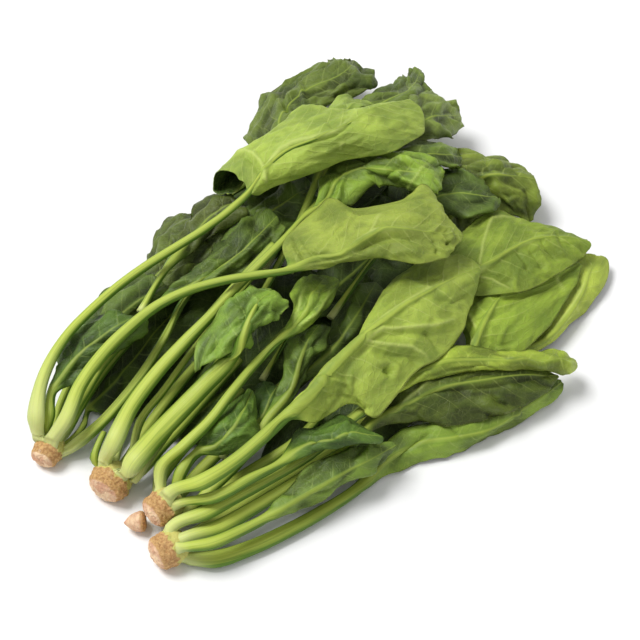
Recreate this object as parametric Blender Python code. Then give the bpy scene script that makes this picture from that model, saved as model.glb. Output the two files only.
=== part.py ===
"""A cut bunch of spinach lying down: four whole plants side by side and the tip of a
fifth root. Each leaf, stalk and blade grown as one piece, is one lofted solid, and
each root crown is a solid of its own. Lengths in the tables are millimetres."""

import math

import bmesh
import bpy
import numpy as np

# ---------------------------------------------------------------- driving sizes
ELEVATION = math.radians(50.0)  # slant of the oblique layout the leaves are drawn on
AZIMUTH = math.radians(-42.0)
EYE_DISTANCE = 889.0  # from the eye of the layout to the ground under its middle
LAYOUT_SIZE = 640.0  # the layout's side, in layout units
LAYOUT_SPREAD = 0.36  # the layout's side per unit of distance

BLADE = 1.7  # blade thickness
MIDRIB = 1.3  # extra thickness along the midrib at the blade's base
BLADE_POINTS = 7  # points across a blade on each side
ROLLED_POINTS = 13  # the same on a rolled or folded blade
CLEAR = 0.45  # least height between a piece and what it lies on
CELL = 0.6  # cell of the height map that pieces are laid down on
MAP_X, MAP_Y = (-230.0, 210.0), (-190.0, 190.0)

OBJECT = "spinach_bunch"

COLOURS = {
    "leaf_green": ((0.115, 0.205, 0.030), 0.55),
    "leaf_pale": ((0.300, 0.420, 0.105), 0.60),
    "leaf_dark": ((0.045, 0.085, 0.014), 0.60),
    "stalk": ((0.430, 0.520, 0.130), 0.45),
    "crown": ((0.480, 0.300, 0.150), 0.80),
}

# Each plant: layout place of the crown's middle with its height, heading of its
# leaves in degrees, and the crown's half sizes: domed end, leaf end, across, up.
PLANTS = {
    "A": ((47, 453, 5.8), 22.0, (5.8, 3.2, 7.0, 6.5)),
    "B": ((109, 483.5, 7.5), 17.0, (6.4, 4.5, 9.3, 8.4)),
    "C": ((160, 509, 13.0), 0.0, (6.3, 4.5, 8.4, 7.2)),
    "D": ((166, 550, 7.0), -10.0, (6.8, 4.2, 8.6, 8.0)),
}

# ---------------------------------------------------------------- the leaves
# name, plant, base (left, up, width, thickness) on the crown's leaf end or None, finish,
# stalk [(across, down, height, width, thickness)], and blade rows. A blade row runs
# from the leaf's left edge through its midrib to its right edge: (across, down, height).
# Leaves are listed from the lowest in the pile to the highest.
LEAVES = [
    ("leaf_u1", "A", None, "leaf_dark",
     [(84, 424, 2.4, 3.4, 2.8), (88, 410, 2.6, 3.4, 2.8)],
     [[(84, 372, 2), (90, 385, 3), (98, 400, 4), (108, 412, 3), (118, 420, 2)],
      [(92, 335, 2), (106, 352, 4), (122, 374, 5), (140, 392, 4), (156, 402, 2)],
      [(112, 302, 2), (128, 320, 4), (148, 342, 5), (168, 360, 4), (186, 368, 2)],
      [(142, 278, 2), (156, 292, 4), (174, 312, 5), (194, 328, 4), (212, 334, 2)],
      [(202, 244, 2), (212, 254, 3), (224, 268, 4), (236, 280, 3), (248, 286, 2)]]),
    ("leaf_u2", "B", None, "leaf_dark",
     [(146, 450, 2.4, 3.6, 2.8), (164, 434, 2.6, 3.6, 2.8)],
     [[(162, 404, 2), (170, 414, 3), (180, 426, 4), (192, 438, 3), (204, 446, 2)],
      [(184, 356, 2), (200, 376, 4), (218, 398, 5), (238, 418, 4), (256, 430, 2)],
      [(216, 312, 2), (234, 334, 4), (256, 358, 5), (278, 380, 4), (298, 392, 2)],
      [(258, 276, 2), (274, 296, 4), (294, 318, 5), (316, 340, 4), (336, 352, 2)],
      [(302, 254, 2), (314, 268, 3), (328, 284, 4), (344, 300, 3), (358, 310, 2)]]),
    ("leaf_u3", "D", None, "leaf_dark",
     [(236, 512, 2.4, 3.6, 2.8), (252, 496, 2.6, 3.6, 2.8)],
     [[(262, 452, 2), (266, 464, 3), (270, 480, 4), (276, 494, 3), (282, 504, 2)],
      [(300, 400, 2), (308, 420, 4), (318, 444, 5), (328, 466, 4), (336, 482, 2)],
      [(346, 356, 2), (354, 380, 4), (364, 404, 5), (374, 428, 4), (382, 446, 2)],
      [(396, 332, 2), (402, 352, 4), (410, 374, 5), (418, 396, 4), (424, 412, 2)],
      [(440, 326, 2), (446, 340, 3), (454, 356, 4), (460, 370, 3), (466, 382, 2)]]),
    ("leaf_u4", "C", None, "leaf_dark",
     [(262, 380, 2.4, 3.6, 2.8), (296, 326, 3, 3.6, 2.8)],
     [[(318, 270, 3), (324, 280, 4), (332, 292, 5), (342, 302, 4), (352, 310, 3)],
      [(338, 222, 3), (352, 240, 5), (368, 260, 6), (386, 278, 5), (404, 290, 3)],
      [(366, 186, 3), (382, 204, 5), (402, 224, 6), (424, 242, 5), (444, 252, 3)],
      [(402, 164, 3), (416, 180, 5), (434, 198, 6), (454, 214, 5), (472, 222, 3)],
      [(440, 160, 3), (450, 170, 4), (462, 182, 5), (476, 192, 4), (490, 198, 3)]]),
    ("leaf_u5", "A", None, "leaf_dark",
     [(130, 310, 2.4, 3.6, 2.8), (164, 274, 3, 3.6, 2.8)],
     [[(190, 232, 3), (198, 242, 4), (210, 254, 5), (222, 264, 4), (234, 270, 3)],
      [(216, 194, 3), (232, 210, 5), (250, 228, 6), (270, 244, 5), (288, 254, 3)],
      [(250, 162, 3), (268, 180, 5), (290, 200, 6), (312, 218, 5), (332, 228, 3)],
      [(292, 138, 3), (310, 156, 5), (330, 176, 6), (352, 194, 5), (372, 204, 3)],
      [(340, 132, 3), (352, 144, 4), (366, 158, 5), (382, 170, 4), (398, 176, 3)]]),
    ("stalk_a1", "A", None, "stalk",
     [(66, 432, 2.6, 5.2, 4.2), (78, 410, 2.8, 5.4, 4.4), (94, 384, 3.0, 5.2, 4.2), (116, 356, 3.4, 4.8, 3.8),
      (140, 330, 4, 3.8, 3.2)], []),
    ("stalk_a2", "A", None, "stalk",
     [(53, 430, 2.4, 3.8, 3.4), (60, 405, 2.6, 4.0, 3.6), (71, 380, 2.8, 4.0, 3.4), (88, 350, 3.2, 3.6, 3.0)], []),
    ("stalk_b1", "B", None, "stalk",
     [(112, 446, 2.8, 5.6, 4.4), (124, 424, 3.0, 5.8, 4.6), (140, 398, 3.2, 5.6, 4.4), (160, 372, 3.4, 5.0, 3.8),
      (184, 344, 4, 3.8, 3.2)], []),
    ("stalk_b2", "B", None, "stalk",
     [(130, 456, 3.0, 5.6, 4.4), (146, 430, 3.2, 5.8, 4.6), (166, 402, 3.4, 5.6, 4.4), (190, 372, 3.6, 5.0, 3.8),
      (216, 342, 4, 3.8, 3.2)], []),
    ("stalk_b3", "B", None, "stalk",
     [(141, 470, 3.2, 6.6, 5.0), (158, 450, 3.4, 6.8, 5.0), (181, 425, 3.6, 6.4, 4.8), (210, 392, 3.8, 5.6, 4.2),
      (240, 360, 4, 4.2, 3.4)], []),
    ("stalk_c1", "C", None, "stalk",
     [(160, 480, 3.2, 6.6, 5.0), (172, 461, 3.4, 6.8, 5.0), (192, 438, 3.6, 6.2, 4.6), (216, 413, 3.8, 5.2, 4.0),
      (242, 390, 4, 4.0, 3.2)], []),
    ("stalk_c2", "C", None, "stalk",
     [(184, 489, 3.0, 6.4, 4.8), (203, 468, 3.2, 6.6, 4.8), (227, 445, 3.4, 6.0, 4.4), (252, 422, 3.6, 5.0, 3.8),
      (276, 398, 4, 3.8, 3.0)], []),
    ("stalk_c3", "C", None, "stalk",
     [(199, 504, 3.0, 7.2, 5.2), (227, 487, 3.2, 7.4, 5.2), (258, 467, 3.4, 6.6, 4.6), (291, 445, 3.6, 5.4, 4.0),
      (322, 414, 4, 4.0, 3.0)], []),
    ("stalk_d1", "D", None, "stalk",
     [(206, 528, 3.0, 7.2, 5.2), (234, 511, 3.2, 7.4, 5.2), (266, 490, 3.4, 6.6, 4.6), (301, 468, 3.6, 5.4, 4.0),
      (336, 448, 4, 4.0, 3.0)], []),
    ("leaf_d4", "D", (-5.0, 3.2, 7.0, 5.2), "leaf_pale",
     [(215, 559, 3.2, 8.4, 5.6), (250, 548, 3.4, 8.0, 5.4), (285, 532, 3.6, 7.4, 5.0),
      (320, 513, 3.8, 6.8, 4.6), (358, 488, 4.2, 6.0, 4.0)],
     [[(390, 440, 9), (391, 448, 9), (393, 456, 7), (395, 463, 4), (398, 470, 1)],
      [(415, 425, 11), (418, 434, 11), (421, 443, 9), (424, 453, 5), (427, 461, 1)],
      [(450, 418, 12), (452, 427, 12), (456, 437, 9), (459, 446, 5), (462, 450, 1)],
      [(485, 410, 12), (487, 420, 12), (491, 428, 9), (495, 433, 5), (500, 436, 1)],
      [(512, 398, 12), (516, 405, 12), (520, 411, 9), (524, 416, 5), (528, 420, 2)],
      [(538, 384, 12), (541, 390, 11), (545, 395, 9), (549, 399, 6), (553, 400, 3)],
      [(559, 377, 9), (560, 379, 9), (562, 382, 8), (563, 385, 6), (563, 389, 4)]]),
    ("leaf_r3", "D", None, "leaf_pale",
     [(340, 434, 2.4, 4.2, 3.2), (420, 392, 2.6, 4.2, 3.2)],
     [[(470, 342, 4), (478, 348, 4), (488, 356, 4), (494, 360, 3), (500, 363, 2)],
      [(512, 316, 6), (526, 330, 6), (541, 342, 6), (543, 344, 4), (545, 347, 2)],
      [(540, 296, 9), (553, 310, 9), (567, 316, 8), (572, 319, 5), (575, 321, 2)],
      [(562, 275, 11), (572, 286, 10), (582, 293, 9), (590, 298, 6), (594, 301, 3)],
      [(574, 259, 12), (582, 266, 11), (589, 273, 10), (599, 280, 8), (606, 281, 5)],
      [(585, 250, 11), (591, 253, 11), (598, 256, 10), (604, 254, 8), (610, 250, 6)]]),
    ("leaf_c8", "C", None, "leaf_dark",
     [(380, 340, 5, 4.0, 3.0), (440, 250, 9, 4.0, 3.0)],
     [[(442, 178, 20), (446, 180, 24), (452, 184, 26), (462, 196, 23), (470, 206, 19), (478, 214, 14), (484, 220, 10)],
      [(460, 152, 16), (464, 156, 25), (474, 168, 28), (484, 178, 27), (492, 190, 24), (500, 202, 18), (508, 214, 12)],
      [(482, 158, 14), (487, 161, 22), (494, 168, 27), (500, 177, 27), (506, 188, 24), (512, 202, 18), (518, 217, 10)],
      [(501, 158, 11), (506, 162, 19), (512, 168, 24), (517, 176, 25), (522, 188, 22), (527, 204, 16), (530, 223, 7)],
      [(524, 169, 10), (528, 172, 15), (532, 175, 19), (535, 180, 20), (538, 192, 17), (539, 206, 12), (536, 219, 6)]]),
    ("leaf_a9", "A", None, "leaf_dark",
     [(160, 285, 3, 4.0, 3.0), (210, 210, 7, 4.0, 3.0)],
     [[(250, 152, 14), (256, 150, 20), (264, 148, 23), (278, 145, 25), (292, 142, 26), (300, 140, 26), (310, 140, 24)],
      [(250, 134, 10), (256, 130, 20), (266, 124, 26), (280, 120, 29), (292, 118, 30), (304, 116, 30), (316, 116, 28)],
      [(262, 106, 8), (269, 103, 19), (278, 103, 26), (290, 104, 29), (302, 104, 31), (314, 104, 32), (326, 108, 30)],
      [(272, 92, 7), (284, 90, 18), (294, 90, 26), (306, 91, 29), (318, 92, 31), (330, 94, 33), (344, 100, 30)],
      [(298, 78, 8), (305, 78, 17), (314, 79, 25), (326, 82, 29), (336, 84, 32), (348, 86, 33), (362, 93, 29)],
      [(326, 66, 9), (332, 66, 17), (340, 67, 24), (347, 70, 28), (353, 73, 30), (362, 77, 30), (376, 86, 26)],
      [(332, 58, 9), (339, 58, 14), (347, 60, 19), (354, 61, 21), (360, 64, 22), (367, 68, 22), (374, 75, 20)]]),
    ("leaf_a7", "A", None, "leaf_dark",
     [(84, 340, 6, 3.8, 3.2), (115, 300, 9, 3.6, 3.0)],
     [[(144, 268, 12), (150, 270, 18), (158, 276, 21), (170, 286, 22), (182, 294, 20)],
      [(149, 250, 10), (158, 253, 19), (170, 262, 24), (182, 272, 25), (195, 282, 23)],
      [(159, 230, 10), (169, 235, 20), (182, 245, 26), (195, 256, 27), (208, 268, 24)],
      [(173, 215, 10), (183, 221, 20), (196, 232, 27), (210, 242, 28), (222, 252, 26)],
      [(192, 211, 13), (202, 215, 22), (214, 222, 27), (226, 232, 29), (238, 240, 27)],
      [(206, 203, 15), (214, 206, 21), (224, 212, 25), (234, 220, 27), (244, 228, 25)]]),
    ("leaf_b7", "B", None, "leaf_dark",
     [(264, 270, 4, 4.0, 3.0), (320, 180, 8, 4.0, 3.0)],
     [[(360, 104, 22), (364, 108, 25), (370, 112, 27), (380, 116, 28), (390, 119, 27)],
      [(370, 93, 18), (379, 96, 25), (390, 100, 28), (400, 107, 29), (410, 112, 28)],
      [(384, 85, 12), (394, 88, 22), (405, 93, 27), (415, 100, 28), (425, 108, 26)],
      [(401, 78, 11), (406, 81, 20), (413, 86, 25), (420, 92, 25), (430, 100, 22)],
      [(409, 69, 10), (415, 68, 14), (421, 70, 17), (426, 77, 17), (424, 88, 16)]]),
    ("leaf_r2", "D", None, "leaf_green",
     [(370, 408, 9, 4.4, 3.4), (430, 372, 13, 4.4, 3.2)],
     [[(464, 344, 18), (468, 347, 20), (473, 351, 22), (478, 354, 20), (482, 358, 18)],
      [(462, 324, 19), (469, 328, 23), (480, 332, 25), (498, 345, 21), (515, 356, 15)],
      [(461, 306, 20), (474, 309, 24), (490, 312, 25), (518, 325, 20), (546, 331, 13)],
      [(468, 290, 20), (482, 294, 23), (500, 297, 24), (534, 303, 19), (566, 302, 13)],
      [(490, 276, 19), (503, 278, 21), (520, 280, 22), (549, 282, 18), (578, 279, 13)],
      [(530, 257, 16), (542, 258, 18), (556, 259, 19), (569, 257, 17), (582, 253, 14)]]),
    ("leaf_r1", "C", None, "leaf_green",
     [(370, 362, 15, 4.4, 3.2), (418, 316, 20, 4.2, 3.0)],
     [[(452, 240, 27), (458, 252, 28), (466, 274, 29), (470, 285, 28), (474, 296, 26)],
      [(468, 226, 27), (476, 240, 29), (484, 267, 31), (495, 281, 29), (504, 294, 26)],
      [(499, 210, 24), (504, 226, 28), (511, 251, 30), (521, 271, 28), (532, 287, 24)],
      [(528, 222, 22), (531, 230, 26), (538, 239, 28), (547, 257, 25), (558, 275, 21)],
      [(555, 226, 19), (557, 231, 22), (562, 237, 24), (569, 250, 22), (576, 263, 18)],
      [(578, 237, 16), (583, 239, 18), (589, 242, 19), (592, 246, 18), (588, 252, 16)]]),
    ("leaf_d2", "D", (-0.8, 9.8, 5.6, 4.8), "leaf_dark",
     [(222, 526, 11, 7.6, 5.4), (250, 510, 12.5, 7.2, 5.2), (280, 492, 14, 6.6, 4.8),
      (310, 473, 15.5, 6.0, 4.4), (345, 450, 17, 5.2, 3.8)],
     [[(373, 408, 19), (377, 412, 19), (381, 417, 19), (384, 421, 18), (387, 425, 16)],
      [(395, 392, 22), (401, 397, 23), (409, 403, 22), (415, 413, 18), (421, 423, 13)],
      [(430, 376, 22), (436, 380, 23), (444, 387, 23), (450, 404, 18), (456, 424, 12)],
      [(470, 368, 21), (474, 373, 22), (480, 381, 22), (487, 400, 17), (494, 418, 11)],
      [(510, 366, 18), (514, 369, 20), (520, 375, 20), (526, 389, 16), (533, 402, 11)],
      [(553, 371, 13), (555, 373, 14), (558, 376, 14), (560, 379, 13), (562, 383, 11)]]),
    ("leaf_d1", "D", (5.0, 6.6, 4.8, 4.4), "leaf_green",
     [(207, 512, 13, 7.2, 5.2), (239, 495, 15, 6.8, 5.0), (272, 477, 17, 6.2, 4.6),
      (308, 456, 18, 5.4, 4.0), (350, 421, 20, 4.8, 3.6)],
     [[(404, 370, 24), (407, 373, 25), (412, 376, 25), (415, 379, 24), (419, 383, 22)],
      [(437, 349, 25), (440, 355, 27), (444, 362, 27), (446, 368, 25), (448, 374, 22)],
      [(470, 347, 24), (472, 353, 26), (476, 360, 26), (478, 366, 25), (480, 371, 22)],
      [(505, 350, 21), (508, 356, 24), (512, 361, 24), (514, 366, 22), (517, 371, 19)],
      [(540, 350, 17), (543, 355, 20), (546, 361, 20), (549, 368, 18), (551, 373, 15)],
      [(561, 350, 13), (566, 355, 16), (569, 362, 17), (568, 370, 15), (564, 377, 11)],
      [(574, 359, 9), (576, 362, 11), (577, 366, 12), (576, 371, 10), (572, 375, 8)]]),
    ("leaf_c7", "C", None, "leaf_dark",
     [(240, 422, 6, 4.0, 3.2), (270, 395, 8, 4.0, 3.0)],
     [[(316, 345, 14), (321, 350, 17), (328, 355, 18), (334, 358, 17), (342, 361, 14)],
      [(333, 318, 15), (341, 322, 20), (350, 326, 22), (358, 330, 21), (367, 335, 18)],
      [(348, 292, 16), (357, 296, 22), (366, 300, 24), (374, 306, 22), (383, 313, 18)],
      [(360, 272, 15), (367, 276, 19), (376, 283, 21), (385, 289, 20), (394, 296, 17)]]),
    ("leaf_c6", "C", None, "leaf_green",
     [(222, 458, 10, 4.0, 3.2), (238, 436, 12, 3.8, 3.0)],
     [[(254, 414, 17), (258, 415, 18), (263, 416, 19), (268, 416, 18), (274, 415, 16)],
      [(252, 396, 18), (260, 397, 21), (270, 399, 22), (279, 402, 21), (288, 405, 17)],
      [(259, 379, 17), (268, 381, 20), (277, 386, 21), (287, 392, 20), (299, 401, 17)]]),
    ("leaf_c4", "C", (-5.2, 8.2, 4.2, 3.8), "leaf_green",
     [(215, 485, 14, 5.6, 4.4), (245, 455, 16, 5.2, 4.2), (266, 422, 18, 4.8, 3.6)],
     [[(282, 382, 22), (287, 384, 23), (293, 386, 24), (298, 385, 23), (305, 382, 21)],
      [(286, 357, 24), (292, 359, 27), (300, 361, 28), (307, 360, 27), (317, 356, 24)],
      [(289, 338, 25), (297, 339, 29), (308, 341, 30), (317, 341, 29), (328, 340, 25)],
      [(301, 331, 26), (310, 328, 29), (320, 325, 30), (328, 324, 29), (337, 321, 26)]]),
    ("leaf_a6", "A", None, "leaf_green",
     [(70, 378, 12, 3.8, 3.4), (84, 350, 14, 3.8, 3.2)],
     [[(89, 317, 18), (97, 323, 20), (107, 330, 21), (114, 334, 20), (122, 338, 18)],
      [(102, 297, 18), (113, 303, 23), (126, 311, 25), (134, 317, 23), (144, 324, 20)],
      [(123, 280, 19), (133, 287, 25), (146, 296, 27), (155, 302, 25), (166, 308, 22)],
      [(146, 268, 20), (154, 276, 24), (164, 284, 25), (171, 290, 24), (179, 296, 21)]]),
    ("leaf_a3", "A", (-5.7, 4.4, 4.6, 4.2), "leaf_dark",
     [(80, 441, 8, 6.2, 4.8), (100, 424, 10, 5.8, 4.4), (122, 400, 13, 5.2, 4.2),
      (142, 374, 16, 4.8, 4.0), (162, 342, 19, 4.4, 3.6), (190, 292, 24, 4.0, 3.2)],
     [[(214, 250, 28), (222, 254, 30), (230, 258, 31), (238, 262, 30), (246, 266, 28)],
      [(230, 224, 28), (239, 229, 33), (250, 236, 34), (260, 243, 33), (271, 250, 30)],
      [(248, 196, 28), (259, 203, 34), (271, 212, 36), (281, 222, 34), (290, 233, 30)],
      [(270, 183, 28), (281, 190, 34), (292, 198, 36), (303, 206, 34), (313, 214, 30)],
      [(300, 173, 28), (306, 179, 31), (313, 186, 32), (319, 191, 31), (324, 197, 28)]]),
    ("leaf_a8", "A", None, "leaf_dark",
     [(140, 312, 18, 4.0, 3.2), (164, 272, 22, 3.8, 3.0)],
     [[(188, 222, 26), (193, 226, 28), (199, 230, 29), (206, 234, 28), (212, 238, 26)],
      [(198, 206, 24), (204, 210, 30), (212, 216, 32), (219, 222, 31), (227, 228, 28)],
      [(211, 194, 24), (217, 199, 31), (225, 207, 34), (233, 214, 32), (241, 221, 29)],
      [(228, 191, 26), (233, 196, 31), (239, 203, 33), (245, 209, 32), (251, 215, 29)]]),
    ("leaf_c9", "C", None, "leaf_dark",
     [(330, 318, 16, 4.0, 3.0), (384, 246, 20, 4.0, 3.0)],
     [[(418, 185, 26), (425, 192, 29), (432, 200, 30), (439, 208, 29), (445, 216, 26)],
      [(444, 172, 27), (451, 182, 31), (458, 194, 32), (463, 206, 31), (467, 218, 27)],
      [(468, 178, 26), (475, 187, 30), (482, 196, 31), (487, 204, 29), (491, 212, 26)],
      [(490, 189, 22), (493, 193, 24), (497, 198, 25), (500, 203, 24), (501, 208, 22)]]),
    ("leaf_b8", "B", None, "leaf_green",
     [(290, 272, 16, 4.0, 3.0), (350, 196, 20, 4.0, 3.0)],
     [[(403, 114, 27), (408, 121, 30), (414, 129, 31), (419, 135, 30), (424, 141, 28)],
      [(413, 93, 22), (421, 104, 29), (430, 118, 31), (434, 128, 30), (438, 139, 26)],
      [(434, 91, 18), (439, 103, 24), (445, 116, 26), (447, 128, 25), (451, 140, 21)],
      [(457, 99, 13), (458, 107, 16), (460, 116, 17), (461, 123, 16), (456, 140, 13)]]),
    ("leaf_b5", "B", (-6.9, 3.8, 3.2, 3.4), "leaf_pale",
     [(150, 456, 14, 4.4, 3.6), (180, 416, 18, 4.0, 3.2), (240, 330, 22, 3.8, 3.0), (300, 220, 28, 3.8, 3.0)],
     [[(327, 125, 37), (332, 127, 39), (338, 128, 40), (343, 125, 40), (348, 121, 39)],
      [(328, 108, 35), (337, 110, 40), (346, 112, 42), (353, 113, 41), (361, 110, 40)],
      [(345, 96, 32), (350, 98, 37), (358, 103, 40), (365, 106, 40), (373, 107, 39)],
      [(362, 99, 31), (367, 101, 34), (374, 104, 37), (380, 107, 38), (387, 111, 37)]]),
    ("leaf_b4", "B", (-2.0, 4.2, 3.4, 3.4), "leaf_green",
     [(142, 418, 20, 3.8, 3.2), (164, 390, 23, 3.6, 3.2), (184, 362, 26, 3.4, 3.0),
      (226, 310, 30, 3.4, 2.8), (290, 232, 34, 3.4, 2.8)],
     [[(368, 158, 35), (373, 160, 37), (380, 163, 38), (386, 166, 37), (393, 169, 35)],
      [(391, 147, 35), (398, 151, 39), (406, 157, 41), (413, 162, 39), (421, 167, 36)],
      [(415, 140, 32), (421, 146, 37), (428, 154, 39), (433, 160, 37), (440, 167, 34)],
      [(438, 141, 28), (442, 147, 32), (447, 155, 34), (451, 161, 32), (455, 168, 30)],
      [(455, 149, 22), (458, 153, 25), (461, 157, 26), (463, 162, 25), (465, 167, 23)]]),
    ("leaf_a4", "A", (-0.7, 4.2, 4.0, 3.8), "leaf_green",
     [(68, 421, 13, 5.4, 4.0), (84, 395, 16, 5.0, 3.8), (101, 367, 20, 4.8, 3.6),
      (124, 340, 25, 4.4, 3.4), (158, 305, 30, 4.0, 3.2)],
     [[(184, 276, 34), (190, 279, 36), (196, 283, 37), (202, 286, 36), (209, 288, 34)],
      [(204, 258, 34), (211, 263, 38), (220, 268, 39), (228, 273, 38), (237, 277, 35)],
      [(226, 238, 34), (234, 244, 39), (243, 251, 41), (250, 258, 39), (259, 265, 35)],
      [(247, 218, 34), (254, 224, 39), (262, 232, 41), (269, 240, 39), (276, 249, 36)],
      [(266, 207, 34), (271, 212, 37), (277, 217, 38), (282, 222, 37), (287, 228, 35)]]),
    ("leaf_a5", "A", (3.3, 4.4, 2.8, 3.2), "leaf_dark",
     [(49, 415, 15, 5.4, 3.4), (52, 392, 18, 5.0, 3.2)],
     [[(55, 372, 20), (58, 374, 21), (63, 376, 22), (69, 378, 21), (76, 381, 19)],
      [(56, 347, 19), (66, 351, 23), (78, 356, 25), (87, 361, 23), (98, 367, 20)],
      [(70, 329, 19), (84, 333, 24), (100, 338, 26), (110, 342, 24), (122, 348, 21)],
      [(93, 314, 19), (106, 318, 24), (120, 325, 26), (130, 330, 24), (142, 336, 21)],
      [(124, 312, 18), (130, 315, 21), (137, 318, 22), (143, 322, 21), (149, 328, 19)]]),
    ("leaf_d3", "D", (-6.2, 9.2, 4.4, 4.0), "leaf_green",
     [(212, 543, 12, 6.0, 4.6), (240, 531, 13, 5.6, 4.4), (264, 519, 14, 5.0, 4.0)],
     [[(283, 494, 18), (286, 497, 18), (290, 504, 17), (293, 508, 15), (296, 511, 13)],
      [(305, 470, 21), (311, 477, 21), (318, 488, 19), (322, 493, 16), (326, 497, 13)],
      [(335, 455, 22), (341, 461, 22), (348, 471, 20), (352, 477, 17), (355, 482, 13)],
      [(360, 444, 20), (366, 450, 21), (373, 458, 19), (377, 463, 16), (380, 467, 13)],
      [(391, 439, 17), (393, 442, 17), (396, 445, 17), (398, 448, 15), (399, 451, 13)]]),
    ("leaf_c5", "C", (-6.6, 12.6, 4.2, 3.8), "leaf_green",
     [(215, 497, 19, 5.8, 4.6), (250, 479, 22, 5.4, 4.4), (282, 462, 24, 4.8, 3.8)],
     [[(299, 430, 24), (303, 436, 26), (311, 444, 28), (318, 447, 28), (325, 449, 26)],
      [(318, 427, 25), (324, 433, 29), (332, 440, 31), (338, 443, 30), (345, 446, 28)],
      [(338, 414, 24), (343, 422, 30), (350, 433, 32), (355, 439, 31), (360, 445, 28)],
      [(356, 421, 25), (360, 428, 28), (366, 435, 30), (370, 440, 29), (375, 445, 27)],
      [(372, 432, 24), (376, 434, 26), (382, 437, 27), (385, 440, 26), (387, 444, 24)]]),
    ("leaf_c2", "C", (0.2, 8.6, 4.6, 4.4), "leaf_green",
     [(182, 470, 20, 5.8, 4.6), (198, 452, 22, 5.2, 4.2)],
     [[(204, 438, 23), (209, 441, 25), (216, 446, 26), (222, 451, 25), (230, 455, 23)],
      [(213, 419, 24), (221, 424, 29), (232, 430, 31), (244, 435, 29), (259, 438, 24)],
      [(229, 404, 24), (235, 408, 29), (243, 412, 31), (250, 418, 29), (258, 427, 23)],
      [(249, 384, 22), (251, 387, 24), (253, 391, 25), (255, 399, 24), (256, 408, 22)]]),
    ("leaf_c1", "C", (6.6, 9.0, 5.4, 5.0), "leaf_green",
     [(161, 468, 13, 6.4, 5.2), (183, 447, 15, 6.2, 5.0), (209, 422, 18, 5.6, 4.6),
      (232, 392, 22, 5.0, 4.2), (258, 361, 28, 4.4, 3.8), (280, 339, 34, 4.2, 3.4)],
     [[(290, 321, 37), (292, 323, 38), (296, 326, 38), (301, 328, 38), (306, 329, 36)],
      [(293, 305, 36), (299, 307, 41), (307, 311, 43), (316, 314, 42), (323, 314, 38)],
      [(290, 292, 35), (299, 294, 41), (311, 297, 44), (322, 301, 43), (332, 303, 38)],
      [(297, 283, 34), (306, 285, 40), (317, 288, 43), (328, 290, 41), (339, 290, 36)],
      [(311, 272, 31), (318, 274, 34), (326, 276, 36), (333, 277, 35), (341, 277, 32)]]),
    ("stalk_b6", "B", (2.6, 4.2, 4.0, 3.6), "stalk",
     [(118, 444, 10, 4.6, 3.8), (140, 398, 15, 4.4, 3.8), (166, 364, 20, 4.4, 3.8), (196, 330, 26, 4.4, 3.6),
      (226, 296, 33, 4.4, 3.6), (250, 270, 39, 4.6, 3.6), (274, 245, 43, 4.6, 3.4)],
     []),
    ("leaf_b1", "B", (8.6, 6.2, 3.2, 3.0), "stalk",
     [(94, 458, 13, 3.8, 3.0), (98, 445, 16, 3.4, 2.6), (104, 432, 17, 2.8, 2.0)],
     []),
    ("leaf_b2", "B", (5.4, 9.6, 6.6, 5.4), "leaf_green",
     [(114, 442, 24, 8.4, 5.8), (130, 409, 27, 8.0, 5.6), (155, 375, 31, 7.4, 5.4), (184, 343, 35, 6.6, 5.0),
      (212, 314, 39, 5.2, 4.4), (238, 286, 42, 4.8, 4.0), (262, 262, 44, 4.6, 3.8), (284, 240, 45, 4.4, 3.6),
      (306, 216, 44, 4.2, 3.4)],
     [[(318, 206, 41), (322, 202, 43), (328, 198, 44), (334, 201, 43), (340, 208, 41)],
      [(322, 178, 38), (330, 176, 42), (338, 180, 44), (346, 188, 43), (355, 202, 40)],
      [(340, 160, 38), (350, 161, 43), (360, 169, 45), (368, 176, 44), (376, 183, 40)],
      [(377, 155, 39), (382, 162, 44), (387, 170, 46), (389, 178, 44), (393, 188, 40)],
      [(405, 152, 38), (408, 161, 44), (410, 172, 46), (411, 183, 44), (412, 194, 40)],
      [(428, 157, 36), (430, 165, 41), (432, 175, 43), (432, 184, 42), (431, 194, 38)],
      [(441, 167, 31), (442, 173, 34), (442, 180, 35), (440, 187, 34), (437, 195, 31)]]),
    ("leaf_b3", "B", (-5.4, 10.6, 7.2, 6.4), "leaf_green",
     [(134, 462, 22, 10.2, 7.2), (156, 436, 25, 10.2, 7.2), (179, 412, 28, 9.8, 7.0),
      (203, 387, 31, 9.0, 6.6), (228, 361, 34, 7.6, 5.8)],
     [[(193, 374, 28), (205, 364, 31), (238, 350, 36), (243, 347, 35), (248, 345, 33)],
      [(197, 346, 29), (211, 340, 34), (243, 337, 39), (250, 333, 39), (257, 328, 37)],
      [(214, 320, 30), (229, 317, 37), (250, 319, 43), (263, 320, 41), (276, 319, 37)],
      [(234, 301, 32), (245, 300, 39), (258, 303, 43), (271, 308, 41), (285, 313, 37)],
      [(256, 287, 32), (264, 288, 37), (274, 291, 40), (282, 296, 38), (290, 303, 35)]]),
    ("leaf_c3", "C", (-2.0, 14.0, 6.6, 5.4), "leaf_pale",
     [(202, 482, 24, 7.6, 5.8), (235, 461, 28, 7.2, 5.6), (262, 438, 32, 6.8, 5.4), (286, 416, 36, 6.2, 5.0)],
     [[(301, 395, 37), (303, 397, 38), (307, 400, 39), (312, 411, 35), (315, 422, 31)],
      [(322, 368, 40), (328, 366, 42), (336, 366, 43), (345, 385, 38), (352, 405, 30)],
      [(351, 347, 41), (355, 343, 43), (361, 341, 45), (370, 376, 38), (378, 418, 27)],
      [(367, 318, 39), (374, 320, 43), (384, 322, 45), (398, 346, 40), (411, 376, 30)],
      [(381, 294, 36), (391, 300, 42), (404, 307, 45), (420, 332, 40), (437, 360, 30)],
      [(404, 271, 34), (416, 281, 41), (431, 291, 43), (444, 313, 39), (460, 336, 29)],
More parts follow.
